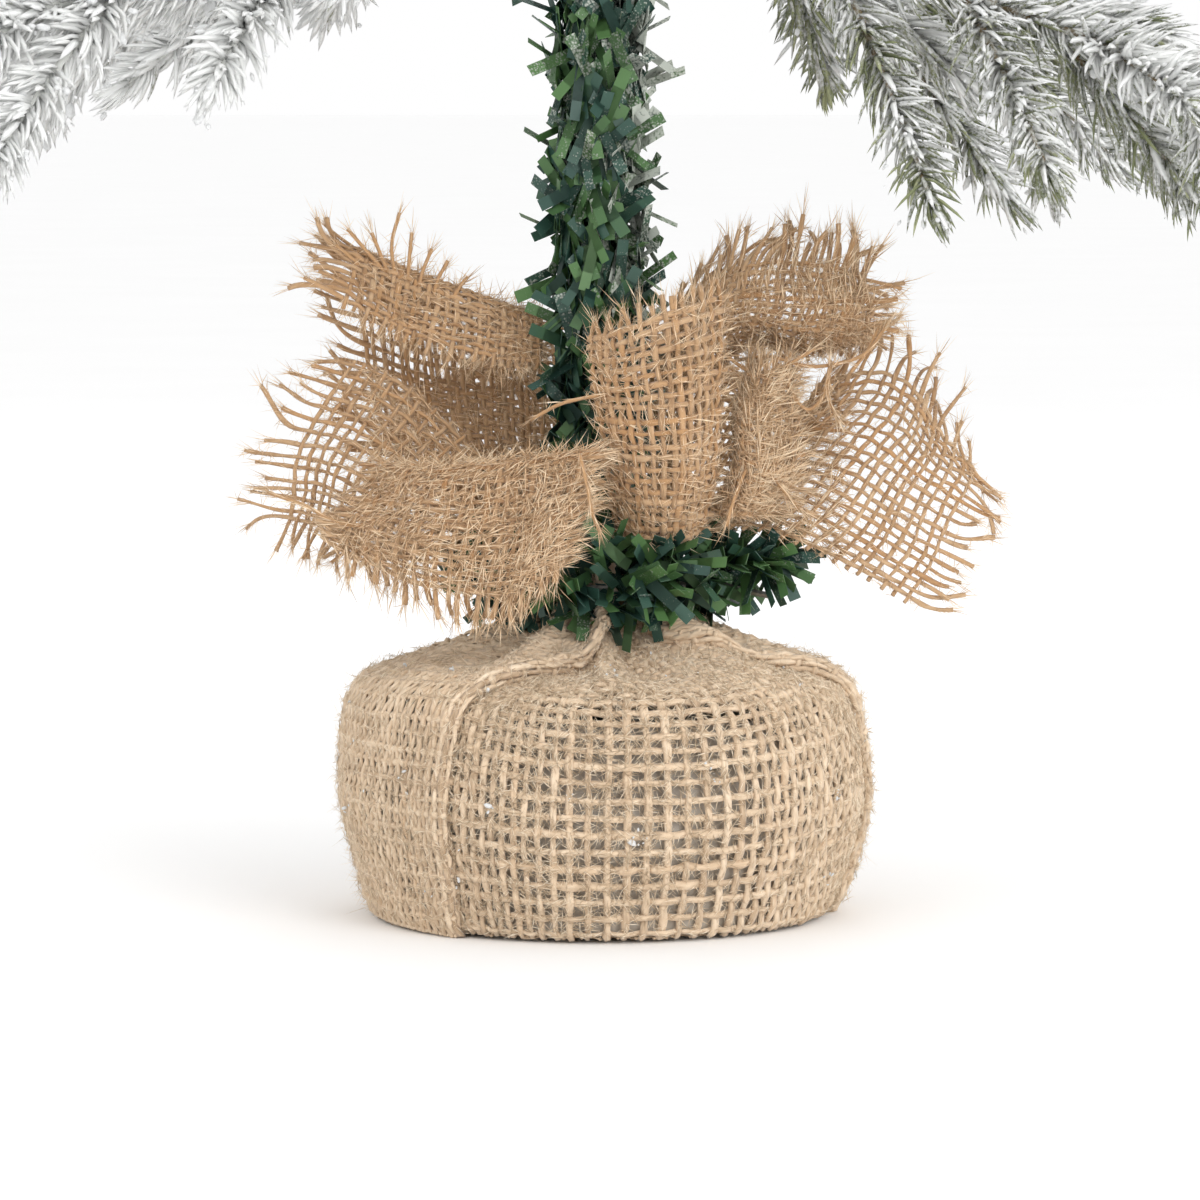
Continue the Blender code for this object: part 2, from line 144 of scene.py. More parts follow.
class Finish:
    """A material, built node by node."""

    def __init__(self, name, **constants):
        self.material = bpy.data.materials.new(name)
        self.material.use_nodes = True
        self.tree = self.material.node_tree
        self.shader = self.tree.nodes["Principled BSDF"]
        for socket, value in constants.items():
            self.shader.inputs[socket.replace("_", " ")].default_value = value

    def node(self, kind, settings=None, inputs=None):
        made = self.tree.nodes.new("ShaderNode" + kind)
        for key, value in (settings or {}).items():
            if key == "stops":
                ramp = made.color_ramp.elements
                while len(ramp) < len(value):
                    ramp.new(0.5)
                for stop, (at, colour) in zip(ramp, value):
                    stop.position, stop.color = at, (*colour, 1)
            else:
                setattr(made, key, value)
        for key, value in (inputs or {}).items():
            self.feed(made.inputs[key], value)
        return made

    def feed(self, socket, value):
        if value is None:
            return
        value = getattr(value, "socket", value)
        if isinstance(value, bpy.types.NodeSocket):
            self.tree.links.new(value, socket)
        elif isinstance(value, tuple) and len(socket.default_value) > len(value):
            socket.default_value = (*value, 1)
        else:
            socket.default_value = value

    def place(self):
        return self.node("TexCoord").outputs["Object"]

    def attribute(self, name):
        return Amount(self, self.node("Attribute", {"attribute_name": name}).outputs["Fac"])

    def noise(self, scale, detail=4.0, roughness=0.55, vector=None, distortion=0.0):
        inputs = {"Vector": vector or self.place(), "Scale": scale, "Detail": detail}
        inputs.update({"Roughness": roughness, "Distortion": distortion})
        return Amount(self, self.node("TexNoise", None, inputs).outputs["Fac"])

    def speckle(self, scale, vector=None):
        inputs = {"Vector": vector or self.place(), "Scale": scale}
        return Amount(self, self.node("TexVoronoi", None, inputs).outputs["Distance"])

    def stretched(self, along, around, map_name="along"):
        """Coordinates on a yarn or strip, with its length and its turn scaled apart."""
        source = self.node("UVMap", {"uv_map": map_name}).outputs["UV"]
        return self.node("Mapping", None, {"Vector": source, "Scale": (along, around, 1.0)}).outputs["Vector"]

    def ramp(self, amount, *stops):
        return self.node("ValToRGB", {"stops": stops}, {"Fac": amount}).outputs["Color"]

    def mix(self, share, first, second):
        made = self.node("Mix", {"data_type": "RGBA"}, {"Factor": share})
        self.feed(made.inputs[6], first)
        self.feed(made.inputs[7], second)
        return made.outputs[2]

    def wear(self, colour=None, roughness=None, bump=None, depth=0.0002, strength=0.5):
        """Puts what varies on the shader's sockets."""
        self.feed(self.shader.inputs["Base Color"], colour)
        self.feed(self.shader.inputs["Roughness"], roughness)
        if bump is not None:
            relief = {"Strength": strength, "Distance": depth, "Height": bump}
            self.feed(self.shader.inputs["Normal"], self.node("Bump", None, relief).outputs["Normal"])
        return self.material


paper = Finish("white_sweep", Roughness=0.9)
grain = paper.noise(6.0)
sweep_white = paper.ramp(grain, (0.3, (0.965, 0.965, 0.965)), (0.7, (0.98, 0.98, 0.98)))
floor.data.materials.append(paper.wear(sweep_white))


# ---------------------------------------------------------------- pot and cement
# A thin grey nursery pot with cement cast in it. Both are seen only as a dull grey glint
# through the holes of the burlap.
plastic = Finish("pot_plastic", Specular_IOR_Level=0.5)
crease = plastic.noise(90.0, 6, 0.6, distortion=1.4)
plastic_grey = plastic.ramp(
    crease, (0.25, (0.34, 0.29, 0.235)), (0.5, (0.47, 0.42, 0.355)), (0.75, (0.64, 0.60, 0.54)))
cast = Finish("cast_cement", Roughness=0.95)
grit = cast.noise(260.0, 8, 0.7)
cement_grey = cast.ramp(grit, (0.3, (0.26, 0.25, 0.24)), (0.7, (0.44, 0.43, 0.41)))


def refinish(node, finish):
    """Gives a CAD node's own mesh a new material."""
    nodes[node].data.materials.clear()
    nodes[node].data.materials.append(finish)


refinish("base_pot", plastic.wear(plastic_grey, 0.25 + 0.3 * crease, crease, 0.0006))
refinish("cement_weight", cast.wear(cement_grey, None, grit, 0.0006))


# ---------------------------------------------------------------- burlap
# Loose plain-weave jute, cut square and gathered up over the pot. Each yarn is a soft single
# of jute about 1.5 mm thick, and lies 3.5 mm from the next where the cloth is neither drawn apart nor crowded.
YARN_PITCH = 3.5 * MM
YARN_LIFT = 0.42 * MM  # how far a yarn rises where it passes over another
WIDE, THIN = 1.2, 0.85  # yarns flatten where they press on each other


def waves(rng, length, count=3, shortest=9 * MM, longest=60 * MM):
    """A smooth irregular function of distance, about 1 high."""
    sizes = rng.uniform(shortest, longest, count)
    phases = rng.uniform(0, 2 * math.pi, count)
    return sum(np.sin(2 * math.pi * length / s + p) for s, p in zip(sizes, phases)) / math.sqrt(count)


def unit(v):
    return v / np.maximum(np.linalg.norm(v, axis=-1, keepdims=True), 1e-12)


def distances(line):
    """How far along a line each of its points is."""
    return np.concatenate(([0], np.cumsum(np.linalg.norm(np.diff(line, axis=0), axis=1))))


def mesh_from(name, points, *groups):
    """A mesh from points and arrays of faces, each array with faces of one size. Nothing goes into the table."""
    points = np.stack((points[:, 0], points[:, 1], np.maximum(points[:, 2], 0.05 * MM)), -1)
    corners = np.concatenate([g.ravel() for g in groups]).astype(np.int32)
    sizes = np.concatenate([np.full(len(g), g.shape[1]) for g in groups])
    starts = np.concatenate(([0], np.cumsum(sizes)[:-1])).astype(np.int32)
    mesh = bpy.data.meshes.new(name)
    mesh.vertices.add(len(points))
    mesh.vertices.foreach_set("co", points.astype(np.float32).ravel())
    mesh.loops.add(len(corners))
    mesh.loops.foreach_set("vertex_index", corners)
    mesh.polygons.add(len(sizes))
    mesh.polygons.foreach_set("loop_start", starts)
    mesh.update(calc_edges=True)
    mesh.polygons.foreach_set("use_smooth", np.ones(len(sizes), dtype=bool))
    return mesh


def new_piece(name, mesh, finish, body):
    made = bpy.data.objects.new(name, mesh)
    bpy.context.collection.objects.link(made)
    mesh.materials.append(finish)
    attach(made, body)
    return made


def float_layer(mesh, name, values):
    layer = mesh.attributes.new(name, "FLOAT", "POINT")
    layer.data.foreach_set("value", np.asarray(values, dtype=np.float32))


class Yarns:
    """Closed tubes along many paths, gathered up to become one mesh."""

    def __init__(self, sides):
        self.sides = sides
        self.points, self.quads, self.caps, self.maps = [], [], [], []
        self.layers = {"shade": [], "tone": []}
        self.count = 0
        self.paths, self.ends = [], []

    def add(self, path, up, radius, shade=0.5, tone=0.5):
        """Spins one yarn along path. up is a vector across the path at each of its points."""
        n, k = len(path), self.sides
        along = unit(np.gradient(path, axis=0))
        across = unit(np.cross(up, along))
        up = np.cross(along, across)
        angles = np.arange(k) * 2 * math.pi / k
        ring = across[:, None] * (WIDE * np.cos(angles))[None, :, None]
        ring = ring + up[:, None] * (THIN * np.sin(angles))[None, :, None]
        radius = np.broadcast_to(radius, n)
        self.points.append((path[:, None] + ring * radius[:, None, None]).reshape(-1, 3))
        i, j = np.meshgrid(np.arange(n - 1), np.arange(k), indexing="ij")
        here, following = i * k + j, i * k + (j + 1) % k
        self.quads.append(np.stack((here, following, following + k, here + k), -1).reshape(-1, 4) + self.count)
        ends = np.stack((np.arange(k)[::-1], np.arange(k) + (n - 1) * k))
        self.caps.append(ends + self.count)
        far = distances(path)
        low, high = far[i], far[i + 1]
        corners = (low, j / k, low, (j + 1) / k, high, (j + 1) / k, high, j / k)
        self.maps.append(np.stack(corners, -1).reshape(-1, 2))
        for layer, value in (("shade", shade), ("tone", tone)):
            self.layers[layer].append(np.repeat(np.broadcast_to(value, n), k))
        self.count += n * k
        self.paths.append((path, along, up))

    def mesh(self, name):
        quads, caps = np.concatenate(self.quads), np.concatenate(self.caps)
        made = mesh_from(name, np.concatenate(self.points), quads, caps)
        uv = np.zeros((len(made.loops), 2), dtype=np.float32)
        uv[: len(quads) * 4] = np.concatenate(self.maps)
        made.uv_layers.new(name="along").data.foreach_set("uv", uv.ravel())
        for layer, values in self.layers.items():
            float_layer(made, layer, np.concatenate(values))
        return made


def free_end(rng, start, along, up, length, step=1.3 * MM, curl=1.0):
    """The points of a yarn's frayed end, which leaves start and curls off at random."""
    count = max(3, int(length / step))
    far = np.arange(1, count + 1)[:, None] * length / count
    sideways = np.cross(along, up)
    bend = rng.normal(0, 0.028 * curl) * up + rng.normal(0, 0.024 * curl) * sideways
    return start + along * far + bend * far**2 / MM * (1 + 0.3 * np.sin(far / (3.5 * MM) + rng.uniform(0, 6)))


def weave(yarns, rng, surface, warps, wefts, radius, steps=3, frays=(0, 0, 0, 0), stray=0.25 * MM, tone=0.5,
          spread=None, rows=None):
    """Weaves a cloth on surface(s, t), where s and t go from 0 to 1 across and along it.

    Warps lie along t and wefts along s. frays gives the length of the free yarn past the edges
    s=0, s=1, t=0 and t=1. spread and rows move the yarns closer in some places than in others.
    """
    spread, rows = spread or (lambda share: share), rows or (lambda share: share)
    tiny = 0.004

    def lay(count, crossings, across, ends):
        for i in range(count):
            fixed = (i + 0.5) / count
            share = np.linspace(0, 1, crossings * steps + 1)
            middle_of = np.full_like(share, fixed)
            both = (spread(middle_of), rows(share)) if across else (spread(share), rows(middle_of))
            middle = surface(*both)
            ds = surface(both[0] + tiny, both[1]) - surface(both[0] - tiny, both[1])
            dt = surface(both[0], both[1] + tiny) - surface(both[0], both[1] - tiny)
            up = unit(np.cross(ds, dt))
            far = distances(middle)
            sign = (1 if across else -1) * (-1) ** i
            sideways = unit(ds if across else dt)
            path = middle + up * (sign * YARN_LIFT * np.sin(math.pi * share * crossings))[:, None]
            path = path + sideways * (stray * (0.5 * rng.normal() + 0.7 * waves(rng, far)))[:, None]
            path = path + up * (0.4 * stray * waves(rng, far))[:, None]
            for end, length in ((0, ends[0]), (-1, ends[1])):
                if length:
                    heading = unit(path[0] - path[2]) if end == 0 else unit(path[-1] - path[-3])
                    tail = free_end(rng, path[end], heading, up[end], length * rng.uniform(0.55, 1.25))
                    yarns.ends.append((tail[-1], unit(tail[-1] - tail[-3])))
                    extra = np.repeat(up[end][None], len(tail), axis=0)
                    path = np.concatenate((tail[::-1], path) if end == 0 else (path, tail))
                    up = np.concatenate((extra, up) if end == 0 else (up, extra))
            far = distances(path)
            girth = radius * rng.uniform(0.82, 1.15) * (1 + 0.16 * waves(rng, far, 3, 5 * MM, 30 * MM))
            shade = np.clip(rng.normal(0.5, 0.15) + 0.11 * waves(rng, far, 3, 6 * MM, 50 * MM), 0, 1)
            yarns.add(path, up, girth, shade, tone + rng.normal(0, 0.12))

    lay(warps, wefts, True, frays[2:])
    lay(wefts, warps, False, frays[:2])


def jute(name, light, mid, dark, warm):
    """Spun jute: streaky tan fibres with a slight twist, darker down in the weave, and matt."""
    finish = Finish(name, Specular_IOR_Level=0.15, Sheen_Weight=0.25, Sheen_Roughness=0.5)
    streaks = finish.noise(1.0, 6, 0.65, finish.stretched(260.0, 9.0), 0.4)
    cloudy = finish.noise(55.0, 4, 0.6)
    fleck = finish.noise(420.0, 3, 0.6)
    twist = finish.node("SeparateXYZ", None, {0: finish.stretched(1.0, 1.0)})
    ply = (Amount(finish, twist.outputs[0]) * 1500.0 + Amount(finish, twist.outputs[1]) * (2 * math.pi)).sine()
    shade = finish.attribute("shade") * 0.5 + streaks * 0.42 + cloudy * 0.22 + ply * 0.05 - 0.06
    base = finish.ramp(shade, (0.22, dark), (0.5, mid), (0.80, light))
    tinted = finish.mix(finish.attribute("tone").step(0.35, 0.95) * 0.75, base, warm)
    colour = finish.mix(fleck.step(0.62, 0.78) * 0.35, tinted, dark)
    relief = streaks * 0.7 + ply * 0.35 + fleck * 0.3
    return finish.wear(colour, 0.82 + 0.15 * streaks, relief, 0.00035, 0.8)


burlap_plain = jute("burlap_yarn", (0.88, 0.72, 0.54), (0.72, 0.555, 0.39), (0.44, 0.31, 0.20), (0.68, 0.47, 0.29))

# The part over the pot. Its profile runs from the foot up the side, over the shoulder and up the neck.
WRAP_PROFILE = (
    (0.0556, 0.0012), (0.0580, 0.0042), (0.0610, 0.0150), (0.0642, 0.0285), (0.0640, 0.0400), (0.0630, 0.0500),
    (0.0610, 0.0560), (0.0565, 0.0600), (0.0480, 0.0630), (0.0370, 0.0660), (0.0265, 0.0695), (0.0190, 0.0740),
    (0.0154, 0.0800), (0.0148, 0.0880), (0.0155, 0.0960),
)


def curve_through(points, per=10):
    """A smooth line through points, as a dense array."""
    p = np.asarray(points, dtype=float)
    before = np.vstack((2 * p[0] - p[1], p[:-1]))[:-1]
    after = np.vstack((p[1:], 2 * p[-1] - p[-2]))[1:]
    a, b = p[:-1], p[1:]
    t = (np.arange(per) / per)[:, None, None]
    line = 0.5 * (2 * a + (b - before) * t + (2 * before - 5 * a + 4 * b - after) * t**2
                  + (3 * a - 3 * b + after - before) * t**3)
    return np.vstack((line.transpose(1, 0, 2).reshape(-1, p.shape[1]), p[-1]))


profile = curve_through(WRAP_PROFILE)
profile_far = distances(profile)
WRAP_LENGTH = profile_far[-1]
# Where the two folds lie: distance up the profile, and the angle of the left and the right fold's edge.
FOLD_AT = np.array((0.000, 0.040, 0.058, 0.066, 0.076, 0.088, 0.100, 0.124))
LEFT_FOLD = np.array((-126.0, -124.0, -122.0, -117.0, -110.0, -98.0, -84.0, -78.0))
RIGHT_FOLD = np.array((-2.0, -5.0, -9.0, -16.0, -24.0, -36.0, -48.0, -56.0))
FOLD_TUCK = 8 * MM
gather = np.random.default_rng(11)
RIDGES = [(n, gather.uniform(0, 2 * math.pi), weight)
          for n, weight in ((5, 0.45), (9, 0.75), (13, 0.6), (21, 0.25))]
RIDGE_HEIGHT = 2.6 * MM
UNDER_FOLD = 12  # degrees that the front runs on under each fold


def on_wrap(angle, up_profile, lift):
    """A point over the pot: an angle in degrees, a distance up the profile, and a lift off the cloth's rest."""
    up_profile = np.clip(up_profile, 0, WRAP_LENGTH)
    r = np.interp(up_profile, profile_far, profile[:, 0])
    z = np.interp(up_profile, profile_far, profile[:, 1])
    dr, dz = (np.interp(up_profile + MM, profile_far, side) - np.interp(up_profile - MM, profile_far, side)
              for side in profile.T)
    size = np.hypot(dr, dz)
    out_r, out_z = dz / size, -dr / size
    a = np.radians(angle)
    folds = sum(w * (1 - 2 * np.abs(np.sin(n * a / 2 + p))) for n, p, w in RIDGES)
    gathered = np.clip((up_profile - 0.060) / 0.030, 0, 1) ** 1.5
    gathered = gathered * np.clip((WRAP_LENGTH - up_profile) / 0.02, 0.35, 1)
    drift = 0.7 * MM * (np.sin(3 * a + 1.0 + up_profile * 40) + 0.6 * np.sin(7 * a + up_profile * 90))
    drift = drift * np.clip(up_profile / 0.012, 0, 1)
    lift = lift + folds * gathered * RIDGE_HEIGHT + np.maximum(drift, -0.3 * MM)
    r, z = r + out_r * lift, z + out_z * lift
    return np.stack((r * np.cos(a), r * np.sin(a), z), -1)


def front_cloth(s, t):
    """The single layer at the front, between the two folds and a little way under them."""
    sag = 10.5 * MM * np.abs((s - 0.42) / 0.5) ** 2.2 * np.sin(math.pi * np.clip(t * 1.25, 0, 1))
    up_profile = t * WRAP_LENGTH + sag
    left = np.interp(up_profile, FOLD_AT, LEFT_FOLD) - UNDER_FOLD
    right = np.interp(up_profile, FOLD_AT, RIGHT_FOLD) + UNDER_FOLD
    angle = left + (right - left) * s
    under = np.exp(-((angle - left) / 17) ** 2) + np.exp(-((right - angle) / 17) ** 2)
    bulge = 0.9 * MM * np.sin(math.pi * np.clip(s, 0, 1)) * np.exp(-((up_profile - 0.03) / 0.03) ** 2)
    hollow = 4.2 * MM * np.exp(-((angle + 78) / 17) ** 2) * np.clip((up_profile - 0.070) / 0.010, 0, 1)
    return on_wrap(angle, up_profile, bulge - 0.8 * MM * under - hollow)


def outer_cloth(s, t):
    """The rest of the cloth, from the left fold round the back to the right fold, with its edges tucked under."""
    up_profile = t * WRAP_LENGTH
    left = np.interp(up_profile, FOLD_AT, LEFT_FOLD)
    right = np.interp(up_profile, FOLD_AT, RIGHT_FOLD)
    r = np.interp(up_profile, profile_far, profile[:, 0])
    wide = np.radians(360 - (right - left)) * r
    at = s * (wide + 2 * FOLD_TUCK) - FOLD_TUCK
    soft = 1.0 * MM
    from_left = np.sqrt(at**2 + soft**2) - soft
    from_right = np.sqrt((wide - at) ** 2 + soft**2) - soft
    near_left = at < wide / 2
    x = np.where(near_left, from_left, wide - from_right)
    edge = np.where(near_left, at, wide - at)
    heavier = 1 + 0.8 * np.clip((up_profile - 0.050) / 0.016, 0, 1)
    thick = (1.25 * MM * np.tanh(edge / (1.3 * MM)) + 1.1 * MM) * heavier
    lift = np.where(edge > 0, thick * np.exp(-np.maximum(edge, 0) / (26 * MM)) + 0.25 * MM, thick + 0.25 * MM)
    return on_wrap(left - np.degrees(x / r), up_profile, lift)


def bunched(centre, low, high, density):
    """A spread of yarns that leaves them wide apart round centre and crowds them elsewhere."""
    x = np.linspace(-0.05, 1.05, 400)
    crowd = density - (density - 1) * np.exp(-(np.abs(x - centre) / np.where(x < centre, low, high)) ** 4)
    share = np.concatenate(([0], np.cumsum((crowd[1:] + crowd[:-1]) / 2)))
    zero, one = np.interp((0, 1), x, share)
    share = (share - zero) / (one - zero)
    return lambda s: np.interp(s, share, x)


wrap_rng = np.random.default_rng(3)
FRONT_WARPS, FRONT_WEFTS, OUTER_WARPS = 54, 42, 156
OUTER_WEFTS = round(WRAP_LENGTH / YARN_PITCH)
front_yarns = Yarns(5)
weave(front_yarns, wrap_rng, front_cloth, FRONT_WARPS, FRONT_WEFTS, radius=0.80 * MM, tone=0.30,
      spread=bunched(0.42, 0.22, 0.20, 2.05), rows=bunched(0.20, 0.5, 0.24, 1.7))
wrap_front = new_piece("burlap_front", front_yarns.mesh("burlap_front"), burlap_plain, "base_and_trunk")
outer_yarns = Yarns(4)
weave(outer_yarns, wrap_rng, outer_cloth, OUTER_WARPS, OUTER_WEFTS - 2, radius=0.70 * MM, steps=2, tone=0.34,
      spread=bunched(0.5, 0.38, 0.38, 1.9))

# Under the pot the same cloth lies flat, and its yarns run straight across.
SOLE_R, SOLE_PITCH = 0.0560, 4.4 * MM
for k in range(-12, 13):
    at = k * SOLE_PITCH
    half = math.sqrt(max(SOLE_R**2 - at**2, 0))
    if half < 6 * MM:
        continue
    x = np.arange(-half, half, SOLE_PITCH / 2)
    for across in (0, 1):
        z = 1.15 * MM + 0.25 * MM * (-1) ** (k + across) * np.cos(math.pi * x / SOLE_PITCH)
        flat = np.stack((x, np.full_like(x, at), z) if across else (np.full_like(x, at), x, z), -1)
        outer_yarns.add(flat, np.array((0, 0, 1.0)) + 0 * flat, 0.5 * MM, wrap_rng.uniform(0.3, 0.7))
wrap_outer = new_piece("burlap_outer", outer_yarns.mesh("burlap_outer"), burlap_plain, "base_and_trunk")
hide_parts("burlap_wrap")


class Model:
    """A small shape that is modelled once and copied many times. Its length lies along Z, from 0 to 1."""

    def __init__(self, obj):
        self.points = np.array([v.co[:] for v in obj.data.vertices])
        self.points[:, 2] -= self.points[:, 2].min()
        self.points[:, 2] /= self.points[:, 2].max()
        sizes = sorted({len(f.vertices) for f in obj.data.polygons})
        self.faces = [np.array([f.vertices[:] for f in obj.data.polygons if len(f.vertices) == k]) for k in sizes]
        bpy.data.objects.remove(obj)

    def copies(self, name, start, heading, up, length, width, thick, bend=0.0, **layers):
        """One mesh of a copy at each start, along its heading. Each curves by bend towards up at its end."""
        count, n = len(start), len(self.points)
        heading = unit(heading)
        side = unit(np.cross(up, heading))
        up = np.cross(heading, side)
        x, y, z = self.points.T
        column = lambda value: np.broadcast_to(value, count)[:, None]
        place = start[:, None] + heading[:, None] * (column(length) * z)[..., None]
        place = place + side[:, None] * (column(width) * x)[..., None]
        place = place + up[:, None] * (column(thick) * y + column(bend) * z**2)[..., None]
        offsets = np.arange(count)[:, None, None] * n
        faces = ((f[None] + offsets).reshape(-1, f.shape[1]) for f in self.faces)
        made = mesh_from(name, place.reshape(-1, 3), *faces)
        for layer, values in layers.items():
            float_layer(made, layer, np.repeat(np.broadcast_to(values, count), n))
        float_layer(made, "reach", np.tile(z, count))
        return made


# Loose jute fibres stand out of every yarn and mat over the holes. A fibre is a three-sided spindle.
deselect_all()
bpy.ops.mesh.primitive_cone_add(vertices=3, radius1=0.5, radius2=0, depth=0.6, location=(0, 0, 0.7))
bpy.ops.object.mode_set(mode="EDIT")
bpy.ops.mesh.select_all(action="DESELECT")
bpy.ops.object.mode_set(mode="OBJECT")
fibre_cone = bpy.context.active_object
for face in fibre_cone.data.polygons:
    face.select = abs(face.normal.z) > 0.99
bpy.ops.object.mode_set(mode="EDIT")
bpy.ops.mesh.extrude_region_move(TRANSFORM_OT_translate={"value": (0, 0, -0.4)})
bpy.ops.mesh.merge(type="CENTER")
bpy.ops.mesh.select_all(action="SELECT")
bpy.ops.mesh.normals_make_consistent(inside=False)
bpy.ops.object.mode_set(mode="OBJECT")
fibre_cone.data.transform(fibre_cone.matrix_world)
fibre = Model(fibre_cone)


def fibre_finish(name, dark, mid, light):
    """Matt loose fibres, each with a shade of its own."""
    finish = Finish(name, Specular_IOR_Level=0.2, Roughness=0.85)
    shade = finish.attribute("shade") * 0.7 + finish.noise(70.0, 3) * 0.5
    return finish.wear(finish.ramp(shade, (0.25, dark), (0.55, mid), (0.85, light)))


jute_fibre = fibre_finish("jute_fibre", (0.50, 0.38, 0.255), (0.76, 0.60, 0.42), (0.95, 0.83, 0.66))


def fuzz(name, rng, yarns, matted, standing, girth, keep=None, tuft=0, shag=0, shag_within=1.0, even=False):
    """Fibres off random places on yarns: some matted down on the cloth, some standing out of it.

    Each frayed end also opens into a tuft of so many fibres. Shag is combed out along its yarn. Even keeps the
    fibres from crowding at the neck, where the yarns run together.
    """
    points = np.concatenate([p for p, _, _ in yarns.paths])
    along = np.concatenate([a for _, a, _ in yarns.paths])
    up = np.concatenate([u for _, _, u in yarns.paths])
    if keep is not None:
        kept = keep(points)
        points, along, up = points[kept], along[kept], up[kept]
    count = matted + standing
    pick = rng.integers(0, len(points), count)
    outward = unit(points * (1, 1, 0))
    up = up * np.where(np.sum(up * outward, axis=1) < 0, -1, 1)[:, None]
    if even:
        toward_front = np.clip(-outward[:, 1], 0, 1) ** 6
        weight = np.hypot(points[:, 0], points[:, 1]) ** 2.4 * (1 + 2 * toward_front)
        pick = np.searchsorted(np.cumsum(weight) / weight.sum(), rng.uniform(0, 1, count)).clip(0, len(points) - 1)
    stands = np.arange(count) >= matted
    facing = 1 if even else np.where(rng.uniform(0, 1, count) < 0.75, 1, -1)[:, None]
    p, a, u = points[pick], along[pick], up[pick] * facing
    across = np.cross(a, u)
    angle = rng.uniform(0, 2 * math.pi, count)
    rise = np.where(stands, rng.uniform(0.15, 1.2, count), rng.normal(0.02, 0.12, count))
    flat = a * np.cos(angle)[:, None] + across * np.sin(angle)[:, None]
    heading = flat + u * rise[:, None]
    start = p + u * rng.uniform(0.1, 0.9 if even else 0.5, count)[:, None] * MM - flat * 0.6 * MM
    girth = np.where(stands, 0.10 * MM, girth)
    length = np.where(stands, rng.gamma(4.0, 0.75, count), rng.uniform(2.2, 5.0, count)) * MM
    if shag:
        near = np.flatnonzero(np.hypot(points[:, 0], points[:, 1]) < shag_within)
        pick = near[rng.integers(0, len(near), shag)]
        comb = along[pick] + rng.normal(0, 0.28, (shag, 3)) + up[pick] * rng.uniform(0.05, 0.4, shag)[:, None]
        start = np.concatenate((start, points[pick] + up[pick] * 0.3 * MM))
        heading, u = np.concatenate((heading, comb)), np.concatenate((u, -up[pick]))
        length = np.concatenate((length, rng.uniform(4.0, 9.0, shag) * MM))
        girth = np.concatenate((girth, rng.uniform(0.16, 0.30, shag) * MM))
    if tuft and yarns.ends:
        tip, out = (np.repeat(np.array(column), tuft, axis=0) for column in zip(*yarns.ends))
        start = np.concatenate((start, tip - out * rng.uniform(1, 5, len(tip))[:, None] * MM))
        heading = np.concatenate((heading, out + rng.normal(0, 0.22, out.shape)))
        u = np.concatenate((u, rng.normal(0, 1, out.shape)))
        length = np.concatenate((length, rng.uniform(3.0, 8.0, len(tip)) * MM))
        girth = np.concatenate((girth, np.full(len(tip), 0.17 * MM)))
    tip = start + unit(heading) * length[:, None]
    clear = tip[:, 2] > 0.6 * MM
    start, heading, u, length, girth = (column[clear] for column in (start, heading, u, length, girth))
    bend = rng.normal(0, 0.12, len(start)) * length
    shade = rng.uniform(0, 1, len(start))
    return fibre.copies(name, start, heading, u, length, girth, girth, bend, shade=shade)


def above_the_sole(points):
    return points[:, 2] > 2 * MM


def wrap_fuzz(name, *amounts):
    mesh = fuzz(name, wrap_rng, *amounts, keep=above_the_sole, even=True)
    return new_piece(name, mesh, jute_fibre, "base_and_trunk")


fuzz_front = wrap_fuzz("burlap_front_fuzz", front_yarns, 23500, 3500, 0.23 * MM)
fuzz_outer = wrap_fuzz("burlap_outer_fuzz", outer_yarns, 14500, 7500, 0.21 * MM)

# Crumbs of white flock have fallen on the cloth and stuck to its fibres.
white = Finish("flock", Roughness=0.95, Sheen_Weight=0.3, Sheen_Roughness=0.6)
fluff = white.noise(1400.0, 6, 0.75)
flock_white = white.wear(
    white.ramp(fluff, (0.3, (0.74, 0.75, 0.75)), (0.65, (0.90, 0.91, 0.91))), None, fluff, 0.0006, 0.9)

deselect_all()
bpy.ops.mesh.primitive_ico_sphere_add(subdivisions=1, radius=0.5, location=(0, 0, 0.5))
puff = Model(bpy.context.active_object)
FLECKS, FLECKS_PER_SPOT = 64, 5
spots = np.concatenate([p for p, _, _ in (*front_yarns.paths, *outer_yarns.paths)])
spots = spots[(spots[:, 2] > 6 * MM) & (spots[:, 2] < 66 * MM)]
spots = np.repeat(spots[wrap_rng.integers(0, len(spots), FLECKS)], FLECKS_PER_SPOT, axis=0)
off_spot = wrap_rng.normal(0, 1.3 * MM, spots.shape)
outward = unit(spots * (1, 1, 0))
off_spot = off_spot - outward * np.sum(off_spot * outward, axis=1, keepdims=True)
grain_size = wrap_rng.gamma(3.0, 0.16, len(spots)) * MM
flecks = puff.copies("wrap_flecks", spots + off_spot + outward * 0.9 * MM, wrap_rng.normal(0, 1, spots.shape),
                     outward + 0.01, grain_size * 1.8, grain_size, grain_size * 0.7)
new_piece("wrap_flecks", flecks, flock_white, "base_and_trunk")


# ---------------------------------------------------------------- frill
# Above the tie the burlap opens out again into eight loose flaps. Their cut edges have frayed:
# the last cross yarns are gone, and the others run on as soft loose ends.
FRILL_FOOT = 0.09194
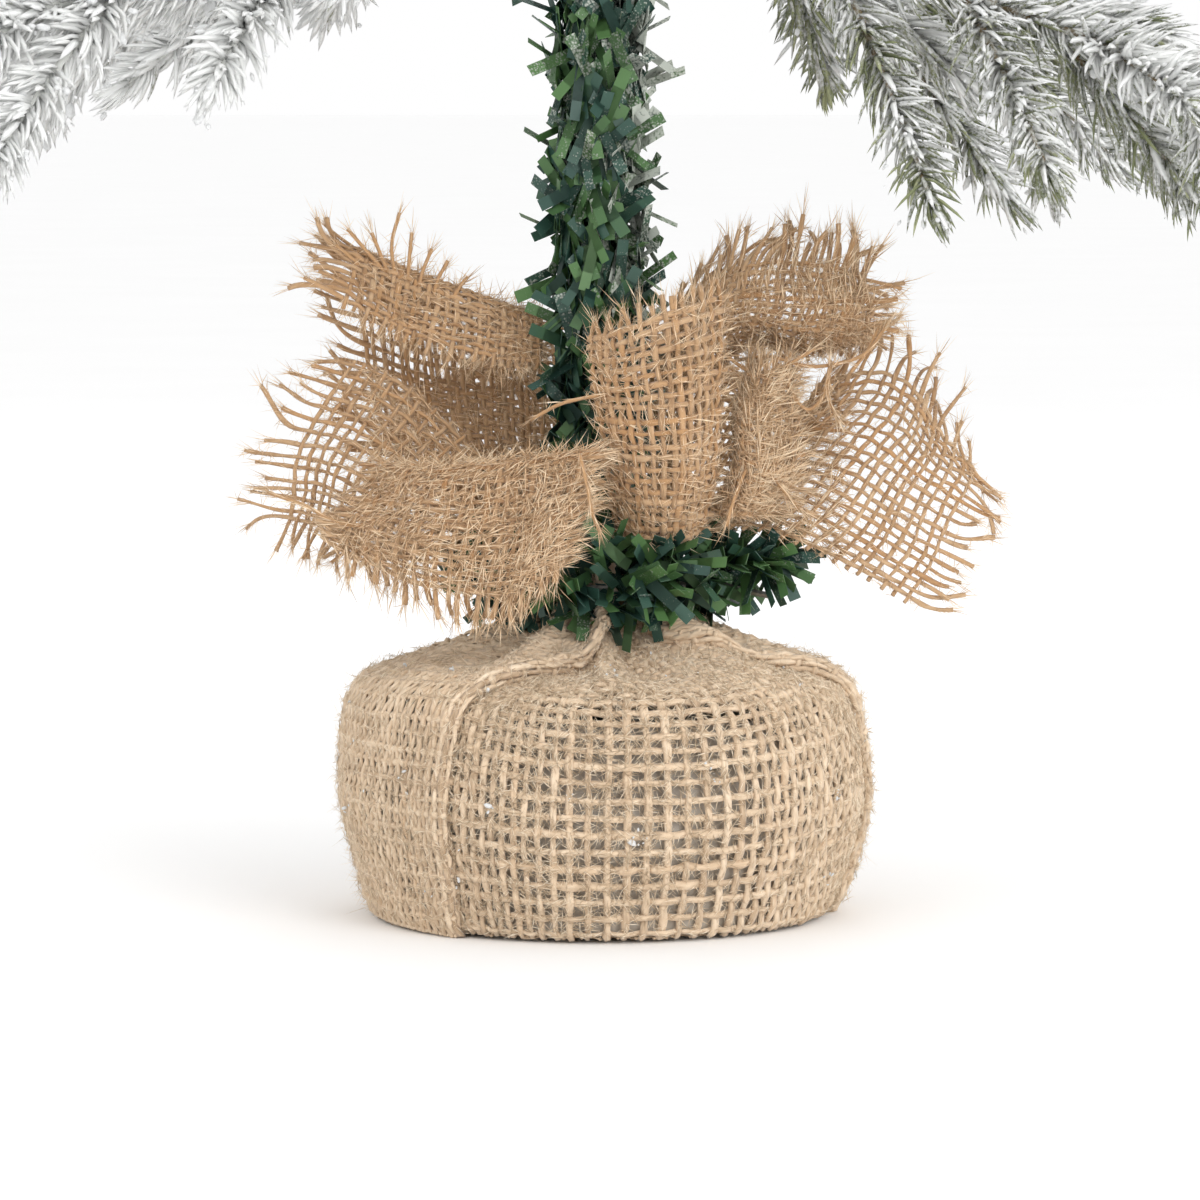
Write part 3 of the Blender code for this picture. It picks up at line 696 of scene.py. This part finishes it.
# Each flap: its net of points in mm, from the neck to the free edge, its yarns' pitch and radius, the fray past each
# edge (first side, second side, neck, free edge), how far it ripples, and how many fibres stand off it.
FLAPS = {
    "frill_right": (
        ((17, -9, 3), (38, -14, 5), (58, -15, -3), (77, -11, -14)),
        ((30, -4, 14), (49, -11, 16), (68, -15, 8), (85, -11, -2)),
        ((44, 4, 28), (60, -3, 30), (77, -9, 22), (91, -7, 12)),
        ((56, 10, 41), (70, 5, 44), (84, -1, 34), (93, -1, 20)), 2.9, 0.47, (0, 9, 0, 10), 2.6, 3600),
    "frill_top_right": (
        ((14, 10, 10), (11, 14, 26), (13, 15, 44), (19, 12, 60)),
        ((33, 10, 47), (31, -2, 53), (32, -5, 61), (36, 0, 71)),
        ((52, 8, 48), (51, -4, 53), (52, -7, 61), (54, -1, 72)),
        ((68, 8, 51), (68, 0, 54), (68, -3, 61), (68, 1, 68)), 2.3, 0.56, (3, 9, 0, 8), 1.8, 5200),
    "frill_centre": (
        ((4, -20, 4), (11, -25, 3), (19, -25, 3), (25, -19, 4)),
        ((1, -25, 21), (10, -34, 20), (21, -34, 20), (28, -24, 21)),
        ((-2, -25, 40), (8, -35, 40), (21, -36, 42), (30, -24, 44)),
        ((-3, -21, 53), (6, -30, 56), (19, -31, 61), (30, -20, 64)), 2.8, 0.66, (0, 2, 0, 4), 0.8, 3200),
    "frill_fold": (
        ((27, -15, 10), (31, -21, 9), (37, -22, 9), (43, -19, 9)),
        ((31, -14, 20), (35, -23, 19), (41, -24, 19), (47, -18, 20)),
        ((32, -12, 34), (36, -20, 33), (41, -20, 33), (46, -13, 34)),
        ((34, -10, 45), (38, -16, 44), (42, -16, 44), (46, -10, 45)), 2.1, 0.58, (0, 4, 0, 4), 1.8, 4600),
    "frill_front_left": (
        ((-32, -14, 10), (-22, -18, 10), (-12, -21, 10), (-2, -23, 10)),
        ((-52, -26, 22), (-36, -33, 22), (-19, -37, 24), (-3, -35, 26)),
        ((-59, -36, 12), (-41, -44, 9), (-21, -46, 9), (-6, -42, 13)),
        ((-62, -38, 2), (-43, -46, -6), (-25, -48, -9), (-9, -44, -1)), 2.4, 0.60, (6, 4, 0, 6), 2.6, 5500),
    "frill_left": (
        ((-16, 2, 6), (-34, 2, 28), (-50, 0, 42), (-62, -2, 47)),
        ((-26, -4, 3), (-44, -8, 20), (-58, -8, 30), (-72, -6, 34)),
        ((-38, -10, 0), (-54, -14, 10), (-66, -14, 17), (-77, -10, 19)),
        ((-50, -13, -2), (-60, -17, 2), (-70, -16, 5), (-78, -12, 7)), 2.9, 0.46, (0, 10, 0, 8), 2.4, 3000),
    "frill_top_left": (
        ((-52, 16, 18), (-38, 18, 14), (-26, 18, 12), (-14, 15, 10)),
        ((-60, 20, 44), (-44, 22, 39), (-28, 22, 36), (-14, 18, 34)),
        ((-62, 12, 74), (-45, 12, 67), (-28, 12, 61), (-15, 10, 57)),
        ((-66, 2, 62), (-48, 0, 53), (-30, 0, 48), (-16, 2, 46)), 2.2, 0.55, (11, 0, 0, 3), 2.0, 6500),
    "frill_back": (
        ((-22, 24, 3), (-8, 22, 4), (8, 22, 4), (22, 24, 3)),
        ((-34, 36, 22), (-12, 33, 24), (12, 33, 24), (34, 36, 20)),
        ((-44, 50, 36), (-16, 46, 44), (16, 46, 42), (46, 50, 34)),
        ((-54, 64, 24), (-20, 62, 52), (20, 62, 50), (56, 64, 26)), 2.7, 0.56, (7, 7, 0, 8), 2.2, 2500),
}

frill_fibre = fibre_finish("frill_fibre", (0.50, 0.33, 0.19), (0.84, 0.60, 0.38), (0.97, 0.79, 0.57))

# How many shaggy fibres hang along the yarns of a flap and how far from the trunk they reach, and its loose threads,
# point by point in mm.
SHAG = {"frill_front_left": (6000, 0.1), "frill_fold": (2600, 0.1), "frill_top_right": (3200, 0.1),
        "frill_top_left": (3000, 0.062), "frill_centre": (900, 0.1), "frill_back": (800, 0.1),
        "frill_right": (2600, 0.060), "frill_left": (1800, 0.056)}
LOOSE = {
    "frill_top_left": (
        ((-48, 7, 151), (-51, 8, 159), (-52, 7, 167), (-50, 6, 175)), ((-47, 7, 151), (-48, 8, 158), (-47, 7, 170)),
        ((-45, 7, 151), (-45, 8, 158), (-42, 7, 166)), ((-42, 7, 150), (-41, 8, 157), (-38, 7, 163)),
        ((-50, 7, 151), (-54, 8, 160), (-58, 7, 165), (-63, 6, 171)), ((-51, 7, 150), (-57, 8, 159), (-66, 6, 167)),
        ((-49, 7, 151), (-53, 8, 160), (-57, 7, 170)), ((-38, 7, 149), (-36, 8, 155), (-33, 7, 159))),
    "frill_top_right": (
        ((34, -11, 139), (42, -14, 140), (52, -13, 137.5), (62, -12, 139), (67, -11, 142), (71, -10, 148)),
        ((46, -14, 140), (47, -15, 132), (51, -14, 127), (55, -14, 130), (57, -13, 138)),
        ((30, -12, 141), (38, -15, 136), (46, -15, 138), (53, -14, 142))),
    "frill_right": (
        ((57, -12, 139), (56, -13, 131), (59, -12, 124)), ((62, -11, 136), (66, -10, 141), (69, -9, 147))),
    "frill_centre": (
        ((4, -29, 132), (-2, -29, 131), (-10, -28, 129), (-17, -27, 125)),
        ((36, -24, 113), (33, -26, 106), (31, -27, 99))),
    "frill_fold": (
        ((41, -24, 113), (44, -25, 109), (49, -26, 103)),),
    "frill_front_left": (
        ((-5, -45, 118), (-3, -48, 110), (-2, -47, 104), (0, -46, 99)),
        ((-58, -40, 100), (-64, -40, 101), (-72, -38, 105), (-81, -36, 108))),
}


def blend_four(points, t):
    """A smooth curve through four points, at t from 0 to 1 and a little beyond."""
    at = np.clip(t, -0.1, 1.1) * 3
    k = np.clip(np.floor(at), 0, 2).astype(int)
    u = (at - k)[..., None]
    padded = np.concatenate((2 * points[..., :1, :] - points[..., 1:2, :], points,
                             2 * points[..., 3:, :] - points[..., 2:3, :]), axis=-2)
    rows = np.arange(len(t))
    a, b, c, d = (padded[rows, k + i] if padded.ndim == 3 else padded[k + i] for i in range(4))
    return 0.5 * (2 * b + (c - a) * u + (2 * a - 5 * b + 4 * c - d) * u**2 + (3 * b - a - 3 * c + d) * u**3)


def flap_surface(net, ripple, seed):
    rows = np.array(net, dtype=float) * MM + (0, 0, FRILL_FOOT)
    phase = np.random.default_rng(seed).uniform(0, 2 * math.pi, 4)

    def surface(s, t):
        curves = np.stack([blend_four(row, s) for row in rows], axis=1)
        place = blend_four(curves, t)
        wave = np.sin(2.3 * math.pi * s + phase[0] + 1.1 * t) * 0.6 + np.sin(4.1 * math.pi * s + phase[1]) * 0.3
        wave = wave + 0.4 * np.sin(3.0 * math.pi * t + phase[2])
        away = unit(place * (1, 1, 0.4) - (0, 0, 0.4 * (FRILL_FOOT + 20 * MM)))
        return place + away * (wave * ripple * MM * np.clip(t * 1.4, 0, 1))[:, None]

    return surface


burlap_frill = jute("burlap_frill_yarn", (0.66, 0.47, 0.295), (0.50, 0.325, 0.185), (0.27, 0.155, 0.08),
                    (0.50, 0.27, 0.115))
for seed, (name, (*net, pitch, yarn_radius, frays, ripple, hair)) in enumerate(FLAPS.items()):
    rng = np.random.default_rng(100 + seed)
    surface = flap_surface(net, ripple, seed)
    line = np.linspace(0, 1, 30)
    half = np.full(30, 0.5)
    wide = np.linalg.norm(np.diff(surface(line, half * 1.6), axis=0), axis=1).sum()  # near the free edge
    deep = np.linalg.norm(np.diff(surface(half, line), axis=0), axis=1).sum()
    warps, rows = max(4, round(wide / MM / pitch)), max(4, round(deep / MM / pitch))
    yarns = Yarns(5)
    weave(yarns, rng, surface, warps, rows, radius=yarn_radius * MM, frays=[f * MM for f in frays],
          stray=0.38 * MM, tone=0.55)
    for thread in LOOSE.get(name, ()):
        path = curve_through(np.array(thread) * MM, 5)
        yarns.add(path, np.broadcast_to((0.1, -1.0, 0.2), path.shape), 0.42 * MM, 0.6, 0.75)
        yarns.ends.append((path[-1], unit(path[-1] - path[-3])))
    flap = new_piece(name + "_cloth", yarns.mesh(name + "_cloth"), burlap_frill, "base_and_trunk")
    shag, within = SHAG[name]
    hairs = fuzz(name + "_fuzz", rng, yarns, hair * 6 // 10, hair * 4 // 10, 0.18 * MM, tuft=13, shag=shag,
                 shag_within=within)
    hairs = new_piece(name + "_fuzz", hairs, frill_fibre, "base_and_trunk")
    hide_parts(name)


# ---------------------------------------------------------------- tie
# A galvanised wire is twisted round the neck, and cut tinsel is bound along it. Each tinsel strip
# is flat green film, in two shades, about 3 mm wide and a little dusty with flock.
wire = Finish("tie_wire_steel", Metallic=1.0)
scratches = wire.noise(900.0, 4, 0.6)
refinish("tie_wire", wire.wear(
    wire.ramp(scratches, (0.3, (0.22, 0.21, 0.19)), (0.7, (0.42, 0.40, 0.37))),
    0.35 + 0.3 * scratches, scratches, 0.0001))

deselect_all()
bpy.ops.mesh.primitive_cube_add(size=1, location=(0, 0, 0.5))
strip_block = bpy.context.active_object
bpy.ops.object.mode_set(mode="EDIT")
bpy.ops.mesh.select_mode(type="FACE")
bpy.ops.object.mode_set(mode="OBJECT")
for face in strip_block.data.polygons:
    face.select = face.normal.z > 0.9
bpy.ops.object.mode_set(mode="EDIT")
for _ in range(2):
    bpy.ops.mesh.extrude_region_move(TRANSFORM_OT_translate={"value": (0, 0, 1)})
bpy.ops.object.mode_set(mode="OBJECT")
strip_block.data.transform(strip_block.matrix_world)
strip = Model(strip_block)

film = Finish("tinsel_film", Specular_IOR_Level=0.45)
film_grain = film.noise(330.0, 5, 0.6)
film_fleck = film.speckle(1500.0)
leaf = film.ramp(film.attribute("shade") * 0.9 + film_grain * 0.1, (0.15, (0.024, 0.068, 0.052)),
                 (0.42, (0.032, 0.084, 0.058)), (0.52, (0.046, 0.110, 0.038)), (0.85, (0.078, 0.170, 0.054)))
# The frost attribute mixes in flock white. It is real dust, and on the trunk it is also a painted highlight on the
# lit right side.
dust_and_highlight = film.attribute("frost") * 1.25 + film_grain * 0.9 - 0.78
dust_and_highlight_cover = (dust_and_highlight + (0.42 - film_fleck) * 0.55).step(0.12, 0.50)
film_green = film.wear(
    film.mix(dust_and_highlight_cover * 0.9, leaf, (0.54, 0.57, 0.51)), 0.46 + 0.45 * dust_and_highlight_cover, dust_and_highlight_cover, 0.0004, 0.6)


STRIP_THICK, STRIP_CURL = 0.14 * MM, 0.022


def tinsel(name, rng, start, heading, up, frost, length=(10, 14), width=(2.4, 3.2)):
    """Cut strips, as one mesh, with their lengths and widths in mm."""
    count = len(start)
    length = rng.uniform(*length, count) * MM
    shade = rng.uniform(0, 1, count)
    made = strip.copies(name, start, heading, up, length, rng.uniform(*width, count) * MM, STRIP_THICK,
                        rng.normal(0, STRIP_CURL, count) * length, shade=shade, frost=frost)
    made.polygons.foreach_set("use_smooth", np.zeros(len(made.polygons), dtype=bool))
    return made


tie_rng = np.random.default_rng(21)
TIE_RING_R, TIE_RING_Z = 0.0238, 0.0870
TIE_STRIPS, TAIL_STRIPS = 900, 90
ring_at = tie_rng.uniform(-180, 180, TIE_STRIPS)
section = tie_rng.uniform(0, 2 * math.pi, TIE_STRIPS)
out = np.array([turn(a) for a in ring_at])
axis_up = np.array((0, 0, 1.0))
off_core = out * np.cos(section)[:, None] + axis_up * np.sin(section)[:, None]
round_core = np.cross(axis_up, out)
round_section = np.cross(round_core, off_core)
ring_start = out * TIE_RING_R + axis_up * TIE_RING_Z + off_core * tie_rng.uniform(1.5, 8.5, TIE_STRIPS)[:, None] * MM
ring_heading = off_core * tie_rng.uniform(0.10, 0.75, TIE_STRIPS)[:, None]
ring_heading = ring_heading + round_core * tie_rng.normal(0, 0.6, TIE_STRIPS)[:, None]
ring_heading = ring_heading + round_section * tie_rng.normal(0, 0.8, TIE_STRIPS)[:, None]
tail_at = tie_rng.uniform(0, 1, TAIL_STRIPS)
tail_line = turn(-14)
tail_start = tail_line * (0.030 + 0.016 * tail_at)[:, None] + axis_up * (TIE_RING_Z + 0.004 * tail_at)[:, None]
tail_heading = tie_rng.normal(0, 0.8, (TAIL_STRIPS, 3)) + tail_line * 0.6
starts = np.concatenate((ring_start, tail_start))
headings = np.concatenate((ring_heading, tail_heading))
facing = np.concatenate((off_core, tie_rng.normal(0, 1, (TAIL_STRIPS, 3)))) + tie_rng.normal(0, 0.30, starts.shape)
clear = (starts + unit(headings) * 11 * MM)[:, 2] > 0.0655
tie_mesh = tinsel("tinsel_tie", tie_rng, starts[clear], headings[clear], facing[clear],
                  tie_rng.uniform(0, 0.42, clear.sum()))
tie_tinsel = new_piece("tinsel_tie", tie_mesh, film_green, "base_and_trunk")
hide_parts("tie_tinsel")


# ---------------------------------------------------------------- trunk
# A thin steel pole stands in the cement, painted green. The branches are bound to it with cloth tape
# at four heights, and the rest is wound with the same tinsel, with more flock dust than the tie. Its strips
# are also painted whiter on the right, where the key light falls: a painted highlight.
POLE_FOOT, CROWN_Z, POLE_TOP = 0.094, 0.2540, 0.5000
paint = Finish("trunk_paint", Roughness=0.5)
chips = paint.noise(240.0, 6, 0.6)
refinish("trunk_pole", paint.wear(
    paint.ramp(chips, (0.3, (0.012, 0.030, 0.016)), (0.75, (0.03, 0.06, 0.035))), 0.35 + 0.4 * chips, chips, 0.0002))

tape = Finish("binding_tape", Specular_IOR_Level=0.25)
tape_map = tape.place()
threads = (Amount(tape, tape.node("SeparateXYZ", None, {0: tape_map}).outputs[2]) * 9000.0).sine()
tape_wear = tape.noise(160.0, 5, 0.6)
tape_green = tape.wear(
    tape.ramp(tape_wear + threads * 0.06, (0.3, (0.015, 0.030, 0.015)), (0.7, (0.05, 0.075, 0.035))),
    0.75 + 0.2 * tape_wear, threads * 0.4 + tape_wear, 0.0003)
for k in range(1, 5):
    refinish(f"tier_binding_{k}", tape_green)


def wound_tinsel(name, seed, low, high, strips, ragged):
    """Strips wound on the pole between two heights. They lie mostly along it, and some stand out."""
    rng = np.random.default_rng(seed)
    angle = rng.uniform(0, 2 * math.pi, strips)
    height = rng.uniform(low, high, strips)
    fuller = np.clip((height - POLE_FOOT) / 0.08, 0, 1)
    outward = np.stack((np.cos(angle), np.sin(angle), np.zeros(strips)), -1)
    sideways = np.cross(axis_up, outward)
    radius = (rng.uniform(3.5, 9.5, strips) + 2.2 * fuller * rng.uniform(0, 1, strips)) * MM
    upward = np.where(rng.uniform(0, 1, strips) < 0.5, 1.0, -1.0)
    stands_out = rng.uniform(0, 1, strips) < ragged
    lean = np.where(stands_out, rng.uniform(1.0, 2.6, strips), rng.uniform(0.0, 0.26, strips))
    heading = axis_up * upward[:, None] + outward * lean[:, None]
    heading = heading + sideways * rng.normal(0, 0.75, strips)[:, None]
    facing = outward + sideways * rng.normal(0, 0.28, strips)[:, None]
    facing = facing + axis_up * rng.normal(0, 0.2, strips)[:, None]
    start = outward * radius[:, None] + axis_up * (height - 0.005 * upward)[:, None]
    patchy = 0.5 + 0.5 * np.sin(height * 95 + 2.5 * np.cos(angle)) * np.cos(angle * 2 + height * 40)
    # Frost: flock dust in patches and thicker higher up, plus a painted highlight that whitens the right (+X) side,
    # where the key light falls.
    frost = 0.13 + 0.40 * np.clip(np.cos(angle), 0, 1) ** 1.5 + 0.25 * fuller * patchy + rng.normal(0, 0.12, strips)
    frost = frost + 0.25 * np.clip((height - 0.22) / 0.1, 0, 1)
    strips = tinsel(name, rng, start, heading, facing, np.clip(frost, 0, 1), (9, 15), (2.3, 3.2))
    return new_piece(name, strips, film_green, "base_and_trunk")


lower_tinsel = wound_tinsel("tinsel_trunk", 31, POLE_FOOT, CROWN_Z - 0.006, 1300, 0.14)
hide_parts("trunk_tinsel")
upper_tinsel = wound_tinsel("tinsel_crown", 32, CROWN_Z + 0.006, POLE_TOP - 0.008, 1300, 0.10)
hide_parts(*[f"tinsel_sleeve_{k}" for k in range(1, 5)])


# ---------------------------------------------------------------- branches
# Each branch is a wire wrapped in brown paper tape, hooked into its binding. Side sprigs are twisted
# on, each with moulded needles about 14 mm long. White flock is sprayed on from above, thickest at the left.
HINGE_R = 0.01099
NEEDLE_LENGTH = 14.0 * MM
NEEDLES_PER_MM = 3.5
UP = np.array((0, 0, 1.0))
# Each tier: its height, reach, rise in degrees, droop, and how far round each branch is.
TIERS = (
    (0.2540, 0.184, -14, 0.012, (-30, 31, 149, 210)),
    (0.3219, 0.156, -7, 0.024, (0, 62, 118, 180, 270)),
    (0.3881, 0.124, 6, 0.020, (45, 135, 225, 315)),
    (0.4481, 0.092, 26, 0.012, (20, 140, 260)),
)
# Each sprig of a tier's branches: its share along the stem, its side, spread, dip and length.
SPRIGS = (
    ((.24, 1, 42, 18, .054), (.30, -1, 32, 32, .074), (.45, 1, 40, -10, .060), (.50, -1, 38, 20, .060),
     (.62, 1, 36, 26, .056), (.68, -1, 34, -6, .050), (.80, 1, 32, 12, .042), (.82, -1, 34, 28, .044)),
    ((.26, 1, 42, 26, .062), (.32, -1, 40, 26, .062), (.50, 1, 38, -8, .052), (.55, -1, 36, 24, .050),
     (.74, 1, 34, 24, .038), (.76, -1, 32, -4, .036)),
    ((.28, 1, 42, 18, .056), (.34, -1, 40, 22, .054), (.56, 1, 38, 14, .042), (.60, -1, 36, -6, .040)),
    ((.30, 1, 40, 12, .044), (.36, -1, 40, 14, .042), (.62, 1, 36, 4, .030)),
)
# The lowest branches on the left are bent up a little, and their sprigs hang less.
LEFT_BRANCHES, LEFT_LIFT = (149, 210), 5
LEFT_SPRIGS = ((.24, 1, 42, 2, .050), (.30, -1, 40, 4, .054), (.40, 1, 38, 18, .058), (.50, -1, 38, 6, .056),
               (.66, 1, 26, 22, .064), (.68, -1, 34, -4, .048), (.80, 1, 32, 8, .042), (.82, -1, 34, 18, .044))
# Each sprig of the leader: its share along the stem, how far round it is, its spread and its length.
LEADER_SPRIGS = ((.24, 0, 40, .048), (.30, 120, 40, .048), (.36, 240, 40, .046), (.60, 60, 34, .030),
                 (.66, 200, 34, .030))
LEADER_REACH, LEADER_Z = 0.106, 0.50199

bark = Finish("branch_tape", Specular_IOR_Level=0.25)
bark_streak = bark.noise(1.0, 6, 0.65, bark.stretched(500.0, 5.0), 0.5)
bark_patch = bark.noise(120.0, 5, 0.6)
bark_colour = bark.ramp(
    bark_streak * 0.6 + bark_patch * 0.4, (0.3, (0.06, 0.055, 0.03)), (0.5, (0.16, 0.115, 0.06)),
    (0.72, (0.24, 0.24, 0.15)))
bark_frost = (bark.noise(420.0, 5, 0.7) + bark.attribute("tone") * 0.5).step(0.66, 0.86)
branch_tape = bark.wear(
    bark.mix(bark_frost * 0.8, bark_colour, (0.72, 0.74, 0.72)), 0.85, bark_streak + bark_frost * 0.6, 0.0005)

leafy = Finish("flocked_needles", Specular_IOR_Level=0.3)
sky = Amount(leafy, leafy.node("SeparateXYZ", None, {0: leafy.node("NewGeometry").outputs["Normal"]}).outputs[2])
powder = leafy.noise(900.0, 5, 0.72)
drift = leafy.noise(60.0, 4, 0.6)
snow = leafy.attribute("frost") * 1.25 + sky * 0.16 + (powder - 0.5) * 1.5 + (drift - 0.5) * 0.9 - 0.25
cover = snow.step(0.05, 0.42)
sage = leafy.ramp(leafy.attribute("shade") * 0.75 + drift * 0.3, (0.2, (0.180, 0.205, 0.105)),
                  (0.55, (0.300, 0.330, 0.175)), (0.85, (0.45, 0.475, 0.280)))
needle_finish = leafy.wear(
    leafy.mix(cover * 0.95, sage, (0.92, 0.925, 0.92)), 0.62 + 0.33 * cover, cover + powder * 0.5, 0.0006, 0.7)

deselect_all()
bpy.ops.mesh.primitive_circle_add(vertices=3, radius=0.6, fill_type="NGON", location=(0, 0, 0))
needle_base = bpy.context.active_object
bpy.ops.object.mode_set(mode="EDIT")
for rise, size in ((0.30, 1.25), (0.42, 0.80)):
    bpy.ops.mesh.extrude_region_move(TRANSFORM_OT_translate={"value": (0, 0, rise)})
    bpy.ops.transform.resize(value=(size, size, 1))
bpy.ops.mesh.extrude_region_move(TRANSFORM_OT_translate={"value": (0, 0, 0.28)})
bpy.ops.mesh.merge(type="CENTER")
bpy.ops.mesh.select_all(action="SELECT")
bpy.ops.mesh.normals_make_consistent(inside=False)
bpy.ops.object.mode_set(mode="OBJECT")
needle = Model(needle_base)


def sprig_line(root, heading, length, steps=14):
    t = np.linspace(0, 1, steps)[:, None]
    return root + heading * length * t - UP * 0.10 * length * t**2


def grow(rng, line, bare):
    """Needle roots and headings along a sprig. They lean forward, more so at its tip, and a share of it is bare."""
    far = distances(line)
    count = int(far[-1] * (1 - bare) / MM * NEEDLES_PER_MM)
    at = np.sort(rng.uniform(far[-1] * bare, far[-1], count))
    root = np.stack([np.interp(at, far, line[:, k]) for k in range(3)], -1)
    along = unit(np.stack([np.interp(at, far, np.gradient(line[:, k], far)) for k in range(3)], -1))
    side = unit(np.cross(along, UP))
    top = np.cross(side, along)
    angle = rng.uniform(0, 2 * math.pi, count)
    radial = side * np.cos(angle)[:, None] + top * np.sin(angle)[:, None]
    share = at / far[-1]
    open_angle = np.radians(np.where(share > 0.93, rng.uniform(8, 38, count), rng.uniform(38, 68, count)))
    heading = along * np.cos(open_angle)[:, None] + radial * np.sin(open_angle)[:, None]
    size = NEEDLE_LENGTH * (1 - 0.30 * share**3) * rng.uniform(0.78, 1.12, count)
    return root + radial * 0.6 * MM, heading, along, size


def foliage(name, body, stem, sprig_lines, frosting, seed, replaced):
    """The taped wires and the needles of one branch."""
    rng = np.random.default_rng(seed)
    wires = Yarns(6)
    far = np.linspace(0, 1, len(stem))
    upright = UP + (0.02, 0.03, 0)  # never quite in line with a wire
    thick = (1.9 - 0.9 * far) * MM * (1 + 0.10 * waves(rng, far * 0.18))
    wires.add(stem, np.broadcast_to(upright, stem.shape), thick, 0.5, frosting)
    parts = [grow(rng, stem, 0.16)]
    for line in sprig_lines:
        slim = np.linspace(0, 1, len(line))
        wires.add(line, np.broadcast_to(upright, line.shape), (1.15 - 0.65 * slim) * MM, 0.5, frosting)
        parts.append(grow(rng, line, 0.04))
    root, heading, along, size = (np.concatenate(column) for column in zip(*parts))
    count = len(root)
    patch = 0.5 + 0.5 * np.sin(root @ (61.0, 83.0, 47.0) + seed) * np.sin(root @ (-37.0, 29.0, 71.0))
    frost = frosting + 0.22 * (patch - 0.5) + 0.10 * unit(heading)[:, 2] + rng.normal(0, 0.10, count)
    frost = np.clip(frost, 0, 1)
    swell = (0.80 + 0.75 * frost) * MM
    twigs = new_piece(f"twigs_{name}", wires.mesh(f"twigs_{name}"), branch_tape, body)
    leaves = needle.copies(f"needles_{name}", root, heading, along, size, swell, swell * 0.62,
                           size * rng.uniform(0.12, 0.36, count), frost=frost, shade=rng.uniform(0, 1, count))
    leaves = new_piece(f"needles_{name}", leaves, needle_finish, body)
    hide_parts(replaced[0])
    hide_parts(replaced[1])
    clumps = int(count * 0.60 * np.clip(frosting - 0.25, 0, 1))
    pick = rng.integers(0, count, clumps)
    reach = rng.uniform(0.05, 0.95, clumps)[:, None]
    place = root[pick] + unit(heading[pick]) * size[pick][:, None] * reach + UP * 0.5 * MM
    lump = rng.gamma(5.0, 0.24, clumps) * MM
    flakes = puff.copies(f"flock_{name}", place, heading[pick], UP + 0.01 * rng.normal(size=(clumps, 3)),
                         lump * rng.uniform(0.9, 2.2, clumps), lump, lump * 0.7)
    new_piece(f"flock_{name}", flakes, flock_white, body)


def frosting_at(azimuth, tier):
    """How thickly a branch is flocked: heavily at the left, lightly at the front right."""
    left = 0.5 - 0.5 * math.cos(math.radians(azimuth))
    return min(1.0, 0.50 + 0.43 * left + 0.05 * tier)


for tier, (height, reach, rise, droop, rounds) in enumerate(TIERS):
    for k, azimuth in enumerate(rounds):
        name = f"{tier + 1}{'abcde'[k]}"
        left = tier == 0 and azimuth in LEFT_BRANCHES
        lean = math.radians(rise + (LEFT_LIFT if left else 0))
        outward = turn(azimuth)
        hinge = outward * HINGE_R + UP * height

        def stem_at(share):
            share = np.asarray(share)[..., None]
            up = reach * share * math.sin(lean) - droop * share**2
            return hinge + outward * reach * share * math.cos(lean) + UP * up

        sprig_lines = []
        for share, side, spread, dip, length in LEFT_SPRIGS if left else SPRIGS[tier]:
            slope = (math.sin(lean) - 2 * droop * share / reach) / math.cos(lean)
            heading = turn(azimuth + side * spread, math.degrees(math.atan(slope)) - dip)
            sprig_lines.append(sprig_line(stem_at(share), heading, length))
        foliage(name, f"branch_{name}", stem_at(np.linspace(-0.012, 1, 30)), sprig_lines, frosting_at(azimuth, tier),
                500 + 10 * tier + k, (f"stem_{name}", f"sprigs_{name}"))

# The leader stands straight up in the top of the pole.
leader_root = UP * LEADER_Z
leader_stem = leader_root + UP * LEADER_REACH * np.linspace(0, 1, 24)[:, None]
leader_lines = [sprig_line(leader_root + UP * LEADER_REACH * share, turn(angle, 90 - spread), length)
                for share, angle, spread, length in LEADER_SPRIGS]
foliage("leader", "leader", leader_stem, leader_lines, 0.75, 700, ("leader_stem", "leader_sprigs"))
